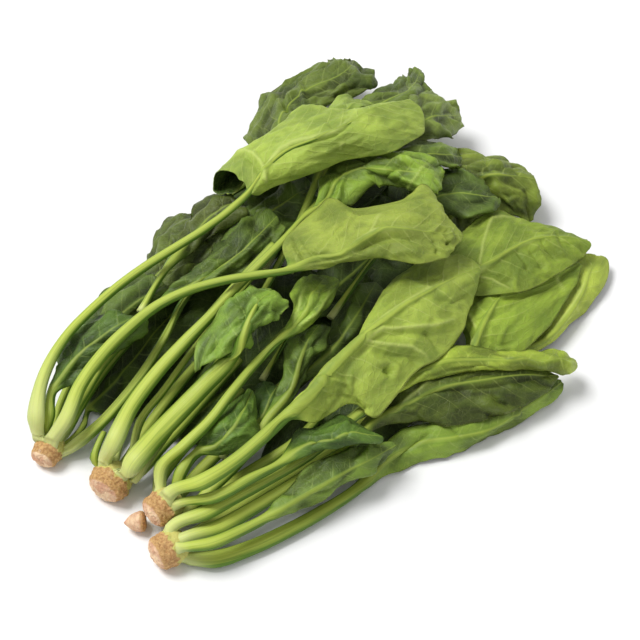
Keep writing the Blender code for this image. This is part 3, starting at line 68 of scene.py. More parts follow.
# ---------------------------------------------------------------- the leaves
# name, plant, base (left, up, width, thickness) on the crown's leaf end or None, finish,
# stalk [(across, down, height, width, thickness)], and blade rows. A blade row runs
# from the leaf's left edge through its midrib to its right edge: (across, down, height).
# Leaves are listed from the lowest in the pile to the highest.
LEAVES = [
    ("leaf_u1", "A", None, "leaf_dark",
     [(84, 424, 2.4, 3.4, 2.8), (88, 410, 2.6, 3.4, 2.8)],
     [[(84, 372, 2), (90, 385, 3), (98, 400, 4), (108, 412, 3), (118, 420, 2)],
      [(92, 335, 2), (106, 352, 4), (122, 374, 5), (140, 392, 4), (156, 402, 2)],
      [(112, 302, 2), (128, 320, 4), (148, 342, 5), (168, 360, 4), (186, 368, 2)],
      [(142, 278, 2), (156, 292, 4), (174, 312, 5), (194, 328, 4), (212, 334, 2)],
      [(202, 244, 2), (212, 254, 3), (224, 268, 4), (236, 280, 3), (248, 286, 2)]]),
    ("leaf_u2", "B", None, "leaf_dark",
     [(146, 450, 2.4, 3.6, 2.8), (164, 434, 2.6, 3.6, 2.8)],
     [[(162, 404, 2), (170, 414, 3), (180, 426, 4), (192, 438, 3), (204, 446, 2)],
      [(184, 356, 2), (200, 376, 4), (218, 398, 5), (238, 418, 4), (256, 430, 2)],
      [(216, 312, 2), (234, 334, 4), (256, 358, 5), (278, 380, 4), (298, 392, 2)],
      [(258, 276, 2), (274, 296, 4), (294, 318, 5), (316, 340, 4), (336, 352, 2)],
      [(302, 254, 2), (314, 268, 3), (328, 284, 4), (344, 300, 3), (358, 310, 2)]]),
    ("leaf_u3", "D", None, "leaf_dark",
     [(236, 512, 2.4, 3.6, 2.8), (252, 496, 2.6, 3.6, 2.8)],
     [[(262, 452, 2), (266, 464, 3), (270, 480, 4), (276, 494, 3), (282, 504, 2)],
      [(300, 400, 2), (308, 420, 4), (318, 444, 5), (328, 466, 4), (336, 482, 2)],
      [(346, 356, 2), (354, 380, 4), (364, 404, 5), (374, 428, 4), (382, 446, 2)],
      [(396, 332, 2), (402, 352, 4), (410, 374, 5), (418, 396, 4), (424, 412, 2)],
      [(440, 326, 2), (446, 340, 3), (454, 356, 4), (460, 370, 3), (466, 382, 2)]]),
    ("leaf_u4", "C", None, "leaf_dark",
     [(262, 380, 2.4, 3.6, 2.8), (296, 326, 3, 3.6, 2.8)],
     [[(318, 270, 3), (324, 280, 4), (332, 292, 5), (342, 302, 4), (352, 310, 3)],
      [(338, 222, 3), (352, 240, 5), (368, 260, 6), (386, 278, 5), (404, 290, 3)],
      [(366, 186, 3), (382, 204, 5), (402, 224, 6), (424, 242, 5), (444, 252, 3)],
      [(402, 164, 3), (416, 180, 5), (434, 198, 6), (454, 214, 5), (472, 222, 3)],
      [(440, 160, 3), (450, 170, 4), (462, 182, 5), (476, 192, 4), (490, 198, 3)]]),
    ("leaf_u5", "A", None, "leaf_dark",
     [(130, 310, 2.4, 3.6, 2.8), (164, 274, 3, 3.6, 2.8)],
     [[(190, 232, 3), (198, 242, 4), (210, 254, 5), (222, 264, 4), (234, 270, 3)],
      [(216, 194, 3), (232, 210, 5), (250, 228, 6), (270, 244, 5), (288, 254, 3)],
      [(250, 162, 3), (268, 180, 5), (290, 200, 6), (312, 218, 5), (332, 228, 3)],
      [(292, 138, 3), (310, 156, 5), (330, 176, 6), (352, 194, 5), (372, 204, 3)],
      [(340, 132, 3), (352, 144, 4), (366, 158, 5), (382, 170, 4), (398, 176, 3)]]),
    ("stalk_a1", "A", None, "stalk",
     [(66, 432, 2.6, 5.2, 4.2), (78, 410, 2.8, 5.4, 4.4), (94, 384, 3.0, 5.2, 4.2), (116, 356, 3.4, 4.8, 3.8),
      (140, 330, 4, 3.8, 3.2)], []),
    ("stalk_a2", "A", None, "stalk",
     [(53, 430, 2.4, 3.8, 3.4), (60, 405, 2.6, 4.0, 3.6), (71, 380, 2.8, 4.0, 3.4), (88, 350, 3.2, 3.6, 3.0)], []),
    ("stalk_b1", "B", None, "stalk",
     [(112, 446, 2.8, 5.6, 4.4), (124, 424, 3.0, 5.8, 4.6), (140, 398, 3.2, 5.6, 4.4), (160, 372, 3.4, 5.0, 3.8),
      (184, 344, 4, 3.8, 3.2)], []),
    ("stalk_b2", "B", None, "stalk",
     [(130, 456, 3.0, 5.6, 4.4), (146, 430, 3.2, 5.8, 4.6), (166, 402, 3.4, 5.6, 4.4), (190, 372, 3.6, 5.0, 3.8),
      (216, 342, 4, 3.8, 3.2)], []),
    ("stalk_b3", "B", None, "stalk",
     [(141, 470, 3.2, 6.6, 5.0), (158, 450, 3.4, 6.8, 5.0), (181, 425, 3.6, 6.4, 4.8), (210, 392, 3.8, 5.6, 4.2),
      (240, 360, 4, 4.2, 3.4)], []),
    ("stalk_c1", "C", None, "stalk",
     [(160, 480, 3.2, 6.6, 5.0), (172, 461, 3.4, 6.8, 5.0), (192, 438, 3.6, 6.2, 4.6), (216, 413, 3.8, 5.2, 4.0),
      (242, 390, 4, 4.0, 3.2)], []),
    ("stalk_c2", "C", None, "stalk",
     [(184, 489, 3.0, 6.4, 4.8), (203, 468, 3.2, 6.6, 4.8), (227, 445, 3.4, 6.0, 4.4), (252, 422, 3.6, 5.0, 3.8),
      (276, 398, 4, 3.8, 3.0)], []),
    ("stalk_c3", "C", None, "stalk",
     [(199, 504, 3.0, 7.2, 5.2), (227, 487, 3.2, 7.4, 5.2), (258, 467, 3.4, 6.6, 4.6), (291, 445, 3.6, 5.4, 4.0),
      (322, 414, 4, 4.0, 3.0)], []),
    ("stalk_d1", "D", None, "stalk",
     [(206, 528, 3.0, 7.2, 5.2), (234, 511, 3.2, 7.4, 5.2), (266, 490, 3.4, 6.6, 4.6), (301, 468, 3.6, 5.4, 4.0),
      (336, 448, 4, 4.0, 3.0)], []),
    ("leaf_d4", "D", (-5.0, 3.2, 7.0, 5.2), "leaf_pale",
     [(215, 559, 3.2, 8.4, 5.6), (250, 548, 3.4, 8.0, 5.4), (285, 532, 3.6, 7.4, 5.0),
      (320, 513, 3.8, 6.8, 4.6), (358, 488, 4.2, 6.0, 4.0)],
     [[(390, 440, 9), (391, 448, 9), (393, 456, 7), (395, 463, 4), (398, 470, 1)],
      [(415, 425, 11), (418, 434, 11), (421, 443, 9), (424, 453, 5), (427, 461, 1)],
      [(450, 418, 12), (452, 427, 12), (456, 437, 9), (459, 446, 5), (462, 450, 1)],
      [(485, 410, 12), (487, 420, 12), (491, 428, 9), (495, 433, 5), (500, 436, 1)],
      [(512, 398, 12), (516, 405, 12), (520, 411, 9), (524, 416, 5), (528, 420, 2)],
      [(538, 384, 12), (541, 390, 11), (545, 395, 9), (549, 399, 6), (553, 400, 3)],
      [(559, 377, 9), (560, 379, 9), (562, 382, 8), (563, 385, 6), (563, 389, 4)]]),
    ("leaf_r3", "D", None, "leaf_pale",
     [(340, 434, 2.4, 4.2, 3.2), (420, 392, 2.6, 4.2, 3.2)],
     [[(470, 342, 4), (478, 348, 4), (488, 356, 4), (494, 360, 3), (500, 363, 2)],
      [(512, 316, 6), (526, 330, 6), (541, 342, 6), (543, 344, 4), (545, 347, 2)],
      [(540, 296, 9), (553, 310, 9), (567, 316, 8), (572, 319, 5), (575, 321, 2)],
      [(562, 275, 11), (572, 286, 10), (582, 293, 9), (590, 298, 6), (594, 301, 3)],
      [(574, 259, 12), (582, 266, 11), (589, 273, 10), (599, 280, 8), (606, 281, 5)],
      [(585, 250, 11), (591, 253, 11), (598, 256, 10), (604, 254, 8), (610, 250, 6)]]),
    ("leaf_c8", "C", None, "leaf_dark",
     [(380, 340, 5, 4.0, 3.0), (440, 250, 9, 4.0, 3.0)],
     [[(442, 178, 20), (446, 180, 24), (452, 184, 26), (462, 196, 23), (470, 206, 19), (478, 214, 14), (484, 220, 10)],
      [(460, 152, 16), (464, 156, 25), (474, 168, 28), (484, 178, 27), (492, 190, 24), (500, 202, 18), (508, 214, 12)],
      [(482, 158, 14), (487, 161, 22), (494, 168, 27), (500, 177, 27), (506, 188, 24), (512, 202, 18), (518, 217, 10)],
      [(501, 158, 11), (506, 162, 19), (512, 168, 24), (517, 176, 25), (522, 188, 22), (527, 204, 16), (530, 223, 7)],
      [(524, 169, 10), (528, 172, 15), (532, 175, 19), (535, 180, 20), (538, 192, 17), (539, 206, 12), (536, 219, 6)]]),
    ("leaf_a9", "A", None, "leaf_dark",
     [(160, 285, 3, 4.0, 3.0), (210, 210, 7, 4.0, 3.0)],
     [[(250, 152, 14), (256, 150, 20), (264, 148, 23), (278, 145, 25), (292, 142, 26), (300, 140, 26), (310, 140, 24)],
      [(250, 134, 10), (256, 130, 20), (266, 124, 26), (280, 120, 29), (292, 118, 30), (304, 116, 30), (316, 116, 28)],
      [(262, 106, 8), (269, 103, 19), (278, 103, 26), (290, 104, 29), (302, 104, 31), (314, 104, 32), (326, 108, 30)],
      [(272, 92, 7), (284, 90, 18), (294, 90, 26), (306, 91, 29), (318, 92, 31), (330, 94, 33), (344, 100, 30)],
      [(298, 78, 8), (305, 78, 17), (314, 79, 25), (326, 82, 29), (336, 84, 32), (348, 86, 33), (362, 93, 29)],
      [(326, 66, 9), (332, 66, 17), (340, 67, 24), (347, 70, 28), (353, 73, 30), (362, 77, 30), (376, 86, 26)],
      [(332, 58, 9), (339, 58, 14), (347, 60, 19), (354, 61, 21), (360, 64, 22), (367, 68, 22), (374, 75, 20)]]),
    ("leaf_a7", "A", None, "leaf_dark",
     [(84, 340, 6, 3.8, 3.2), (115, 300, 9, 3.6, 3.0)],
     [[(144, 268, 12), (150, 270, 18), (158, 276, 21), (170, 286, 22), (182, 294, 20)],
      [(149, 250, 10), (158, 253, 19), (170, 262, 24), (182, 272, 25), (195, 282, 23)],
      [(159, 230, 10), (169, 235, 20), (182, 245, 26), (195, 256, 27), (208, 268, 24)],
      [(173, 215, 10), (183, 221, 20), (196, 232, 27), (210, 242, 28), (222, 252, 26)],
      [(192, 211, 13), (202, 215, 22), (214, 222, 27), (226, 232, 29), (238, 240, 27)],
      [(206, 203, 15), (214, 206, 21), (224, 212, 25), (234, 220, 27), (244, 228, 25)]]),
    ("leaf_b7", "B", None, "leaf_dark",
     [(264, 270, 4, 4.0, 3.0), (320, 180, 8, 4.0, 3.0)],
     [[(360, 104, 22), (364, 108, 25), (370, 112, 27), (380, 116, 28), (390, 119, 27)],
      [(370, 93, 18), (379, 96, 25), (390, 100, 28), (400, 107, 29), (410, 112, 28)],
      [(384, 85, 12), (394, 88, 22), (405, 93, 27), (415, 100, 28), (425, 108, 26)],
      [(401, 78, 11), (406, 81, 20), (413, 86, 25), (420, 92, 25), (430, 100, 22)],
      [(409, 69, 10), (415, 68, 14), (421, 70, 17), (426, 77, 17), (424, 88, 16)]]),
    ("leaf_r2", "D", None, "leaf_green",
     [(370, 408, 9, 4.4, 3.4), (430, 372, 13, 4.4, 3.2)],
     [[(464, 344, 18), (468, 347, 20), (473, 351, 22), (478, 354, 20), (482, 358, 18)],
      [(462, 324, 19), (469, 328, 23), (480, 332, 25), (498, 345, 21), (515, 356, 15)],
      [(461, 306, 20), (474, 309, 24), (490, 312, 25), (518, 325, 20), (546, 331, 13)],
      [(468, 290, 20), (482, 294, 23), (500, 297, 24), (534, 303, 19), (566, 302, 13)],
      [(490, 276, 19), (503, 278, 21), (520, 280, 22), (549, 282, 18), (578, 279, 13)],
      [(530, 257, 16), (542, 258, 18), (556, 259, 19), (569, 257, 17), (582, 253, 14)]]),
    ("leaf_r1", "C", None, "leaf_green",
     [(370, 362, 15, 4.4, 3.2), (418, 316, 20, 4.2, 3.0)],
     [[(452, 240, 27), (458, 252, 28), (466, 274, 29), (470, 285, 28), (474, 296, 26)],
      [(468, 226, 27), (476, 240, 29), (484, 267, 31), (495, 281, 29), (504, 294, 26)],
      [(499, 210, 24), (504, 226, 28), (511, 251, 30), (521, 271, 28), (532, 287, 24)],
      [(528, 222, 22), (531, 230, 26), (538, 239, 28), (547, 257, 25), (558, 275, 21)],
      [(555, 226, 19), (557, 231, 22), (562, 237, 24), (569, 250, 22), (576, 263, 18)],
      [(578, 237, 16), (583, 239, 18), (589, 242, 19), (592, 246, 18), (588, 252, 16)]]),
    ("leaf_d2", "D", (-0.8, 9.8, 5.6, 4.8), "leaf_dark",
     [(222, 526, 11, 7.6, 5.4), (250, 510, 12.5, 7.2, 5.2), (280, 492, 14, 6.6, 4.8),
      (310, 473, 15.5, 6.0, 4.4), (345, 450, 17, 5.2, 3.8)],
     [[(373, 408, 19), (377, 412, 19), (381, 417, 19), (384, 421, 18), (387, 425, 16)],
      [(395, 392, 22), (401, 397, 23), (409, 403, 22), (415, 413, 18), (421, 423, 13)],
      [(430, 376, 22), (436, 380, 23), (444, 387, 23), (450, 404, 18), (456, 424, 12)],
      [(470, 368, 21), (474, 373, 22), (480, 381, 22), (487, 400, 17), (494, 418, 11)],
      [(510, 366, 18), (514, 369, 20), (520, 375, 20), (526, 389, 16), (533, 402, 11)],
      [(553, 371, 13), (555, 373, 14), (558, 376, 14), (560, 379, 13), (562, 383, 11)]]),
    ("leaf_d1", "D", (5.0, 6.6, 4.8, 4.4), "leaf_green",
     [(207, 512, 13, 7.2, 5.2), (239, 495, 15, 6.8, 5.0), (272, 477, 17, 6.2, 4.6),
      (308, 456, 18, 5.4, 4.0), (350, 421, 20, 4.8, 3.6)],
     [[(404, 370, 24), (407, 373, 25), (412, 376, 25), (415, 379, 24), (419, 383, 22)],
      [(437, 349, 25), (440, 355, 27), (444, 362, 27), (446, 368, 25), (448, 374, 22)],
      [(470, 347, 24), (472, 353, 26), (476, 360, 26), (478, 366, 25), (480, 371, 22)],
      [(505, 350, 21), (508, 356, 24), (512, 361, 24), (514, 366, 22), (517, 371, 19)],
      [(540, 350, 17), (543, 355, 20), (546, 361, 20), (549, 368, 18), (551, 373, 15)],
      [(561, 350, 13), (566, 355, 16), (569, 362, 17), (568, 370, 15), (564, 377, 11)],
      [(574, 359, 9), (576, 362, 11), (577, 366, 12), (576, 371, 10), (572, 375, 8)]]),
    ("leaf_c7", "C", None, "leaf_dark",
     [(240, 422, 6, 4.0, 3.2), (270, 395, 8, 4.0, 3.0)],
     [[(316, 345, 14), (321, 350, 17), (328, 355, 18), (334, 358, 17), (342, 361, 14)],
      [(333, 318, 15), (341, 322, 20), (350, 326, 22), (358, 330, 21), (367, 335, 18)],
      [(348, 292, 16), (357, 296, 22), (366, 300, 24), (374, 306, 22), (383, 313, 18)],
      [(360, 272, 15), (367, 276, 19), (376, 283, 21), (385, 289, 20), (394, 296, 17)]]),
    ("leaf_c6", "C", None, "leaf_green",
     [(222, 458, 10, 4.0, 3.2), (238, 436, 12, 3.8, 3.0)],
     [[(254, 414, 17), (258, 415, 18), (263, 416, 19), (268, 416, 18), (274, 415, 16)],
      [(252, 396, 18), (260, 397, 21), (270, 399, 22), (279, 402, 21), (288, 405, 17)],
      [(259, 379, 17), (268, 381, 20), (277, 386, 21), (287, 392, 20), (299, 401, 17)]]),
    ("leaf_c4", "C", (-5.2, 8.2, 4.2, 3.8), "leaf_green",
     [(215, 485, 14, 5.6, 4.4), (245, 455, 16, 5.2, 4.2), (266, 422, 18, 4.8, 3.6)],
     [[(282, 382, 22), (287, 384, 23), (293, 386, 24), (298, 385, 23), (305, 382, 21)],
      [(286, 357, 24), (292, 359, 27), (300, 361, 28), (307, 360, 27), (317, 356, 24)],
      [(289, 338, 25), (297, 339, 29), (308, 341, 30), (317, 341, 29), (328, 340, 25)],
      [(301, 331, 26), (310, 328, 29), (320, 325, 30), (328, 324, 29), (337, 321, 26)]]),
    ("leaf_a6", "A", None, "leaf_green",
     [(70, 378, 12, 3.8, 3.4), (84, 350, 14, 3.8, 3.2)],
     [[(89, 317, 18), (97, 323, 20), (107, 330, 21), (114, 334, 20), (122, 338, 18)],
      [(102, 297, 18), (113, 303, 23), (126, 311, 25), (134, 317, 23), (144, 324, 20)],
      [(123, 280, 19), (133, 287, 25), (146, 296, 27), (155, 302, 25), (166, 308, 22)],
      [(146, 268, 20), (154, 276, 24), (164, 284, 25), (171, 290, 24), (179, 296, 21)]]),
    ("leaf_a3", "A", (-5.7, 4.4, 4.6, 4.2), "leaf_dark",
     [(80, 441, 8, 6.2, 4.8), (100, 424, 10, 5.8, 4.4), (122, 400, 13, 5.2, 4.2),
      (142, 374, 16, 4.8, 4.0), (162, 342, 19, 4.4, 3.6), (190, 292, 24, 4.0, 3.2)],
     [[(214, 250, 28), (222, 254, 30), (230, 258, 31), (238, 262, 30), (246, 266, 28)],
      [(230, 224, 28), (239, 229, 33), (250, 236, 34), (260, 243, 33), (271, 250, 30)],
      [(248, 196, 28), (259, 203, 34), (271, 212, 36), (281, 222, 34), (290, 233, 30)],
      [(270, 183, 28), (281, 190, 34), (292, 198, 36), (303, 206, 34), (313, 214, 30)],
      [(300, 173, 28), (306, 179, 31), (313, 186, 32), (319, 191, 31), (324, 197, 28)]]),
    ("leaf_a8", "A", None, "leaf_dark",
     [(140, 312, 18, 4.0, 3.2), (164, 272, 22, 3.8, 3.0)],
     [[(188, 222, 26), (193, 226, 28), (199, 230, 29), (206, 234, 28), (212, 238, 26)],
      [(198, 206, 24), (204, 210, 30), (212, 216, 32), (219, 222, 31), (227, 228, 28)],
      [(211, 194, 24), (217, 199, 31), (225, 207, 34), (233, 214, 32), (241, 221, 29)],
      [(228, 191, 26), (233, 196, 31), (239, 203, 33), (245, 209, 32), (251, 215, 29)]]),
    ("leaf_c9", "C", None, "leaf_dark",
     [(330, 318, 16, 4.0, 3.0), (384, 246, 20, 4.0, 3.0)],
     [[(418, 185, 26), (425, 192, 29), (432, 200, 30), (439, 208, 29), (445, 216, 26)],
      [(444, 172, 27), (451, 182, 31), (458, 194, 32), (463, 206, 31), (467, 218, 27)],
      [(468, 178, 26), (475, 187, 30), (482, 196, 31), (487, 204, 29), (491, 212, 26)],
      [(490, 189, 22), (493, 193, 24), (497, 198, 25), (500, 203, 24), (501, 208, 22)]]),
    ("leaf_b8", "B", None, "leaf_green",
     [(290, 272, 16, 4.0, 3.0), (350, 196, 20, 4.0, 3.0)],
     [[(403, 114, 27), (408, 121, 30), (414, 129, 31), (419, 135, 30), (424, 141, 28)],
      [(413, 93, 22), (421, 104, 29), (430, 118, 31), (434, 128, 30), (438, 139, 26)],
      [(434, 91, 18), (439, 103, 24), (445, 116, 26), (447, 128, 25), (451, 140, 21)],
      [(457, 99, 13), (458, 107, 16), (460, 116, 17), (461, 123, 16), (456, 140, 13)]]),
    ("leaf_b5", "B", (-6.9, 3.8, 3.2, 3.4), "leaf_pale",
     [(150, 456, 14, 4.4, 3.6), (180, 416, 18, 4.0, 3.2), (240, 330, 22, 3.8, 3.0), (300, 220, 28, 3.8, 3.0)],
     [[(327, 125, 37), (332, 127, 39), (338, 128, 40), (343, 125, 40), (348, 121, 39)],
      [(328, 108, 35), (337, 110, 40), (346, 112, 42), (353, 113, 41), (361, 110, 40)],
      [(345, 96, 32), (350, 98, 37), (358, 103, 40), (365, 106, 40), (373, 107, 39)],
      [(362, 99, 31), (367, 101, 34), (374, 104, 37), (380, 107, 38), (387, 111, 37)]]),
    ("leaf_b4", "B", (-2.0, 4.2, 3.4, 3.4), "leaf_green",
     [(142, 418, 20, 3.8, 3.2), (164, 390, 23, 3.6, 3.2), (184, 362, 26, 3.4, 3.0),
      (226, 310, 30, 3.4, 2.8), (290, 232, 34, 3.4, 2.8)],
     [[(368, 158, 35), (373, 160, 37), (380, 163, 38), (386, 166, 37), (393, 169, 35)],
      [(391, 147, 35), (398, 151, 39), (406, 157, 41), (413, 162, 39), (421, 167, 36)],
      [(415, 140, 32), (421, 146, 37), (428, 154, 39), (433, 160, 37), (440, 167, 34)],
      [(438, 141, 28), (442, 147, 32), (447, 155, 34), (451, 161, 32), (455, 168, 30)],
      [(455, 149, 22), (458, 153, 25), (461, 157, 26), (463, 162, 25), (465, 167, 23)]]),
    ("leaf_a4", "A", (-0.7, 4.2, 4.0, 3.8), "leaf_green",
     [(68, 421, 13, 5.4, 4.0), (84, 395, 16, 5.0, 3.8), (101, 367, 20, 4.8, 3.6),
      (124, 340, 25, 4.4, 3.4), (158, 305, 30, 4.0, 3.2)],
     [[(184, 276, 34), (190, 279, 36), (196, 283, 37), (202, 286, 36), (209, 288, 34)],
      [(204, 258, 34), (211, 263, 38), (220, 268, 39), (228, 273, 38), (237, 277, 35)],
      [(226, 238, 34), (234, 244, 39), (243, 251, 41), (250, 258, 39), (259, 265, 35)],
      [(247, 218, 34), (254, 224, 39), (262, 232, 41), (269, 240, 39), (276, 249, 36)],
      [(266, 207, 34), (271, 212, 37), (277, 217, 38), (282, 222, 37), (287, 228, 35)]]),
    ("leaf_a5", "A", (3.3, 4.4, 2.8, 3.2), "leaf_dark",
     [(49, 415, 15, 5.4, 3.4), (52, 392, 18, 5.0, 3.2)],
     [[(55, 372, 20), (58, 374, 21), (63, 376, 22), (69, 378, 21), (76, 381, 19)],
      [(56, 347, 19), (66, 351, 23), (78, 356, 25), (87, 361, 23), (98, 367, 20)],
      [(70, 329, 19), (84, 333, 24), (100, 338, 26), (110, 342, 24), (122, 348, 21)],
      [(93, 314, 19), (106, 318, 24), (120, 325, 26), (130, 330, 24), (142, 336, 21)],
      [(124, 312, 18), (130, 315, 21), (137, 318, 22), (143, 322, 21), (149, 328, 19)]]),
    ("leaf_d3", "D", (-6.2, 9.2, 4.4, 4.0), "leaf_green",
     [(212, 543, 12, 6.0, 4.6), (240, 531, 13, 5.6, 4.4), (264, 519, 14, 5.0, 4.0)],
     [[(283, 494, 18), (286, 497, 18), (290, 504, 17), (293, 508, 15), (296, 511, 13)],
      [(305, 470, 21), (311, 477, 21), (318, 488, 19), (322, 493, 16), (326, 497, 13)],
      [(335, 455, 22), (341, 461, 22), (348, 471, 20), (352, 477, 17), (355, 482, 13)],
      [(360, 444, 20), (366, 450, 21), (373, 458, 19), (377, 463, 16), (380, 467, 13)],
      [(391, 439, 17), (393, 442, 17), (396, 445, 17), (398, 448, 15), (399, 451, 13)]]),
    ("leaf_c5", "C", (-6.6, 12.6, 4.2, 3.8), "leaf_green",
     [(215, 497, 19, 5.8, 4.6), (250, 479, 22, 5.4, 4.4), (282, 462, 24, 4.8, 3.8)],
     [[(299, 430, 24), (303, 436, 26), (311, 444, 28), (318, 447, 28), (325, 449, 26)],
      [(318, 427, 25), (324, 433, 29), (332, 440, 31), (338, 443, 30), (345, 446, 28)],
      [(338, 414, 24), (343, 422, 30), (350, 433, 32), (355, 439, 31), (360, 445, 28)],
      [(356, 421, 25), (360, 428, 28), (366, 435, 30), (370, 440, 29), (375, 445, 27)],
      [(372, 432, 24), (376, 434, 26), (382, 437, 27), (385, 440, 26), (387, 444, 24)]]),
    ("leaf_c2", "C", (0.2, 8.6, 4.6, 4.4), "leaf_green",
     [(182, 470, 20, 5.8, 4.6), (198, 452, 22, 5.2, 4.2)],
     [[(204, 438, 23), (209, 441, 25), (216, 446, 26), (222, 451, 25), (230, 455, 23)],
      [(213, 419, 24), (221, 424, 29), (232, 430, 31), (244, 435, 29), (259, 438, 24)],
      [(229, 404, 24), (235, 408, 29), (243, 412, 31), (250, 418, 29), (258, 427, 23)],
      [(249, 384, 22), (251, 387, 24), (253, 391, 25), (255, 399, 24), (256, 408, 22)]]),
    ("leaf_c1", "C", (6.6, 9.0, 5.4, 5.0), "leaf_green",
     [(161, 468, 13, 6.4, 5.2), (183, 447, 15, 6.2, 5.0), (209, 422, 18, 5.6, 4.6),
      (232, 392, 22, 5.0, 4.2), (258, 361, 28, 4.4, 3.8), (280, 339, 34, 4.2, 3.4)],
     [[(290, 321, 37), (292, 323, 38), (296, 326, 38), (301, 328, 38), (306, 329, 36)],
      [(293, 305, 36), (299, 307, 41), (307, 311, 43), (316, 314, 42), (323, 314, 38)],
      [(290, 292, 35), (299, 294, 41), (311, 297, 44), (322, 301, 43), (332, 303, 38)],
      [(297, 283, 34), (306, 285, 40), (317, 288, 43), (328, 290, 41), (339, 290, 36)],
      [(311, 272, 31), (318, 274, 34), (326, 276, 36), (333, 277, 35), (341, 277, 32)]]),
    ("stalk_b6", "B", (2.6, 4.2, 4.0, 3.6), "stalk",
     [(118, 444, 10, 4.6, 3.8), (140, 398, 15, 4.4, 3.8), (166, 364, 20, 4.4, 3.8), (196, 330, 26, 4.4, 3.6),
      (226, 296, 33, 4.4, 3.6), (250, 270, 39, 4.6, 3.6), (274, 245, 43, 4.6, 3.4)],
     []),
    ("leaf_b1", "B", (8.6, 6.2, 3.2, 3.0), "stalk",
     [(94, 458, 13, 3.8, 3.0), (98, 445, 16, 3.4, 2.6), (104, 432, 17, 2.8, 2.0)],
     []),
    ("leaf_b2", "B", (5.4, 9.6, 6.6, 5.4), "leaf_green",
     [(114, 442, 24, 8.4, 5.8), (130, 409, 27, 8.0, 5.6), (155, 375, 31, 7.4, 5.4), (184, 343, 35, 6.6, 5.0),
      (212, 314, 39, 5.2, 4.4), (238, 286, 42, 4.8, 4.0), (262, 262, 44, 4.6, 3.8), (284, 240, 45, 4.4, 3.6),
      (306, 216, 44, 4.2, 3.4)],
     [[(318, 206, 41), (322, 202, 43), (328, 198, 44), (334, 201, 43), (340, 208, 41)],
      [(322, 178, 38), (330, 176, 42), (338, 180, 44), (346, 188, 43), (355, 202, 40)],
      [(340, 160, 38), (350, 161, 43), (360, 169, 45), (368, 176, 44), (376, 183, 40)],
      [(377, 155, 39), (382, 162, 44), (387, 170, 46), (389, 178, 44), (393, 188, 40)],
      [(405, 152, 38), (408, 161, 44), (410, 172, 46), (411, 183, 44), (412, 194, 40)],
      [(428, 157, 36), (430, 165, 41), (432, 175, 43), (432, 184, 42), (431, 194, 38)],
      [(441, 167, 31), (442, 173, 34), (442, 180, 35), (440, 187, 34), (437, 195, 31)]]),
    ("leaf_b3", "B", (-5.4, 10.6, 7.2, 6.4), "leaf_green",
     [(134, 462, 22, 10.2, 7.2), (156, 436, 25, 10.2, 7.2), (179, 412, 28, 9.8, 7.0),
      (203, 387, 31, 9.0, 6.6), (228, 361, 34, 7.6, 5.8)],
     [[(193, 374, 28), (205, 364, 31), (238, 350, 36), (243, 347, 35), (248, 345, 33)],
      [(197, 346, 29), (211, 340, 34), (243, 337, 39), (250, 333, 39), (257, 328, 37)],
      [(214, 320, 30), (229, 317, 37), (250, 319, 43), (263, 320, 41), (276, 319, 37)],
      [(234, 301, 32), (245, 300, 39), (258, 303, 43), (271, 308, 41), (285, 313, 37)],
      [(256, 287, 32), (264, 288, 37), (274, 291, 40), (282, 296, 38), (290, 303, 35)]]),
    ("leaf_c3", "C", (-2.0, 14.0, 6.6, 5.4), "leaf_pale",
     [(202, 482, 24, 7.6, 5.8), (235, 461, 28, 7.2, 5.6), (262, 438, 32, 6.8, 5.4), (286, 416, 36, 6.2, 5.0)],
     [[(301, 395, 37), (303, 397, 38), (307, 400, 39), (312, 411, 35), (315, 422, 31)],
      [(322, 368, 40), (328, 366, 42), (336, 366, 43), (345, 385, 38), (352, 405, 30)],
      [(351, 347, 41), (355, 343, 43), (361, 341, 45), (370, 376, 38), (378, 418, 27)],
      [(367, 318, 39), (374, 320, 43), (384, 322, 45), (398, 346, 40), (411, 376, 30)],
      [(381, 294, 36), (391, 300, 42), (404, 307, 45), (420, 332, 40), (437, 360, 30)],
      [(404, 271, 34), (416, 281, 41), (431, 291, 43), (444, 313, 39), (460, 336, 29)],
      [(430, 257, 34), (442, 267, 39), (457, 277, 41), (463, 294, 37), (469, 312, 30)],
      [(463, 252, 34), (470, 258, 36), (480, 267, 37), (480, 278, 35), (478, 292, 31)]]),
    ("leaf_a1", "A", (6.6, 6.2, 5.2, 4.8), "leaf_pale",
     [(36, 420, 13, 7.4, 5.0), (40, 388, 18, 6.6, 4.6), (52, 358, 23, 5.6, 4.4), (68, 334, 27, 5.0, 4.0),
      (90, 311, 31, 4.8, 4.0), (116, 288, 34, 4.8, 4.0), (146, 266, 38, 4.8, 3.8), (176, 247, 42, 4.6, 3.6),
      (206, 228, 46, 4.2, 3.6), (232, 208, 50, 4.4, 3.4)],
     [[(236, 192, 37), (215, 192, 31), (216, 173, 46), (232, 173, 53), (249, 192, 52), (253, 194, 51), (258, 195, 49)],
      [(255, 170, 33), (232, 174, 29), (240, 151, 47), (252, 153, 54), (264, 171, 57), (275, 178, 54), (285, 183, 49)],
      [(276, 150, 31), (256, 154, 27), (263, 137, 46), (273, 142, 54), (286, 151, 59), (303, 165, 56), (316, 173, 49)],
      [(300, 135, 29), (281, 137, 26), (284, 120, 45), (297, 128, 55), (315, 139, 61), (332, 150, 57), (347, 161, 49)],
      [(320, 124, 34), (308, 122, 30), (304, 106, 45), (322, 115, 53), (346, 125, 60), (364, 139, 57), (381, 155, 49)],
      [(356, 115, 42), (347, 115, 42), (344, 111, 47), (355, 109, 53), (370, 110, 58), (392, 128, 54), (410, 143, 45)],
      [(390, 110, 43), (391, 107, 44), (395, 104, 45), (402, 101, 47), (410, 100, 48), (424, 110, 46), (435, 122, 41)]]),
    ("leaf_a2", "A", (-1.2, 9.6, 5.6, 5.0), "leaf_pale",
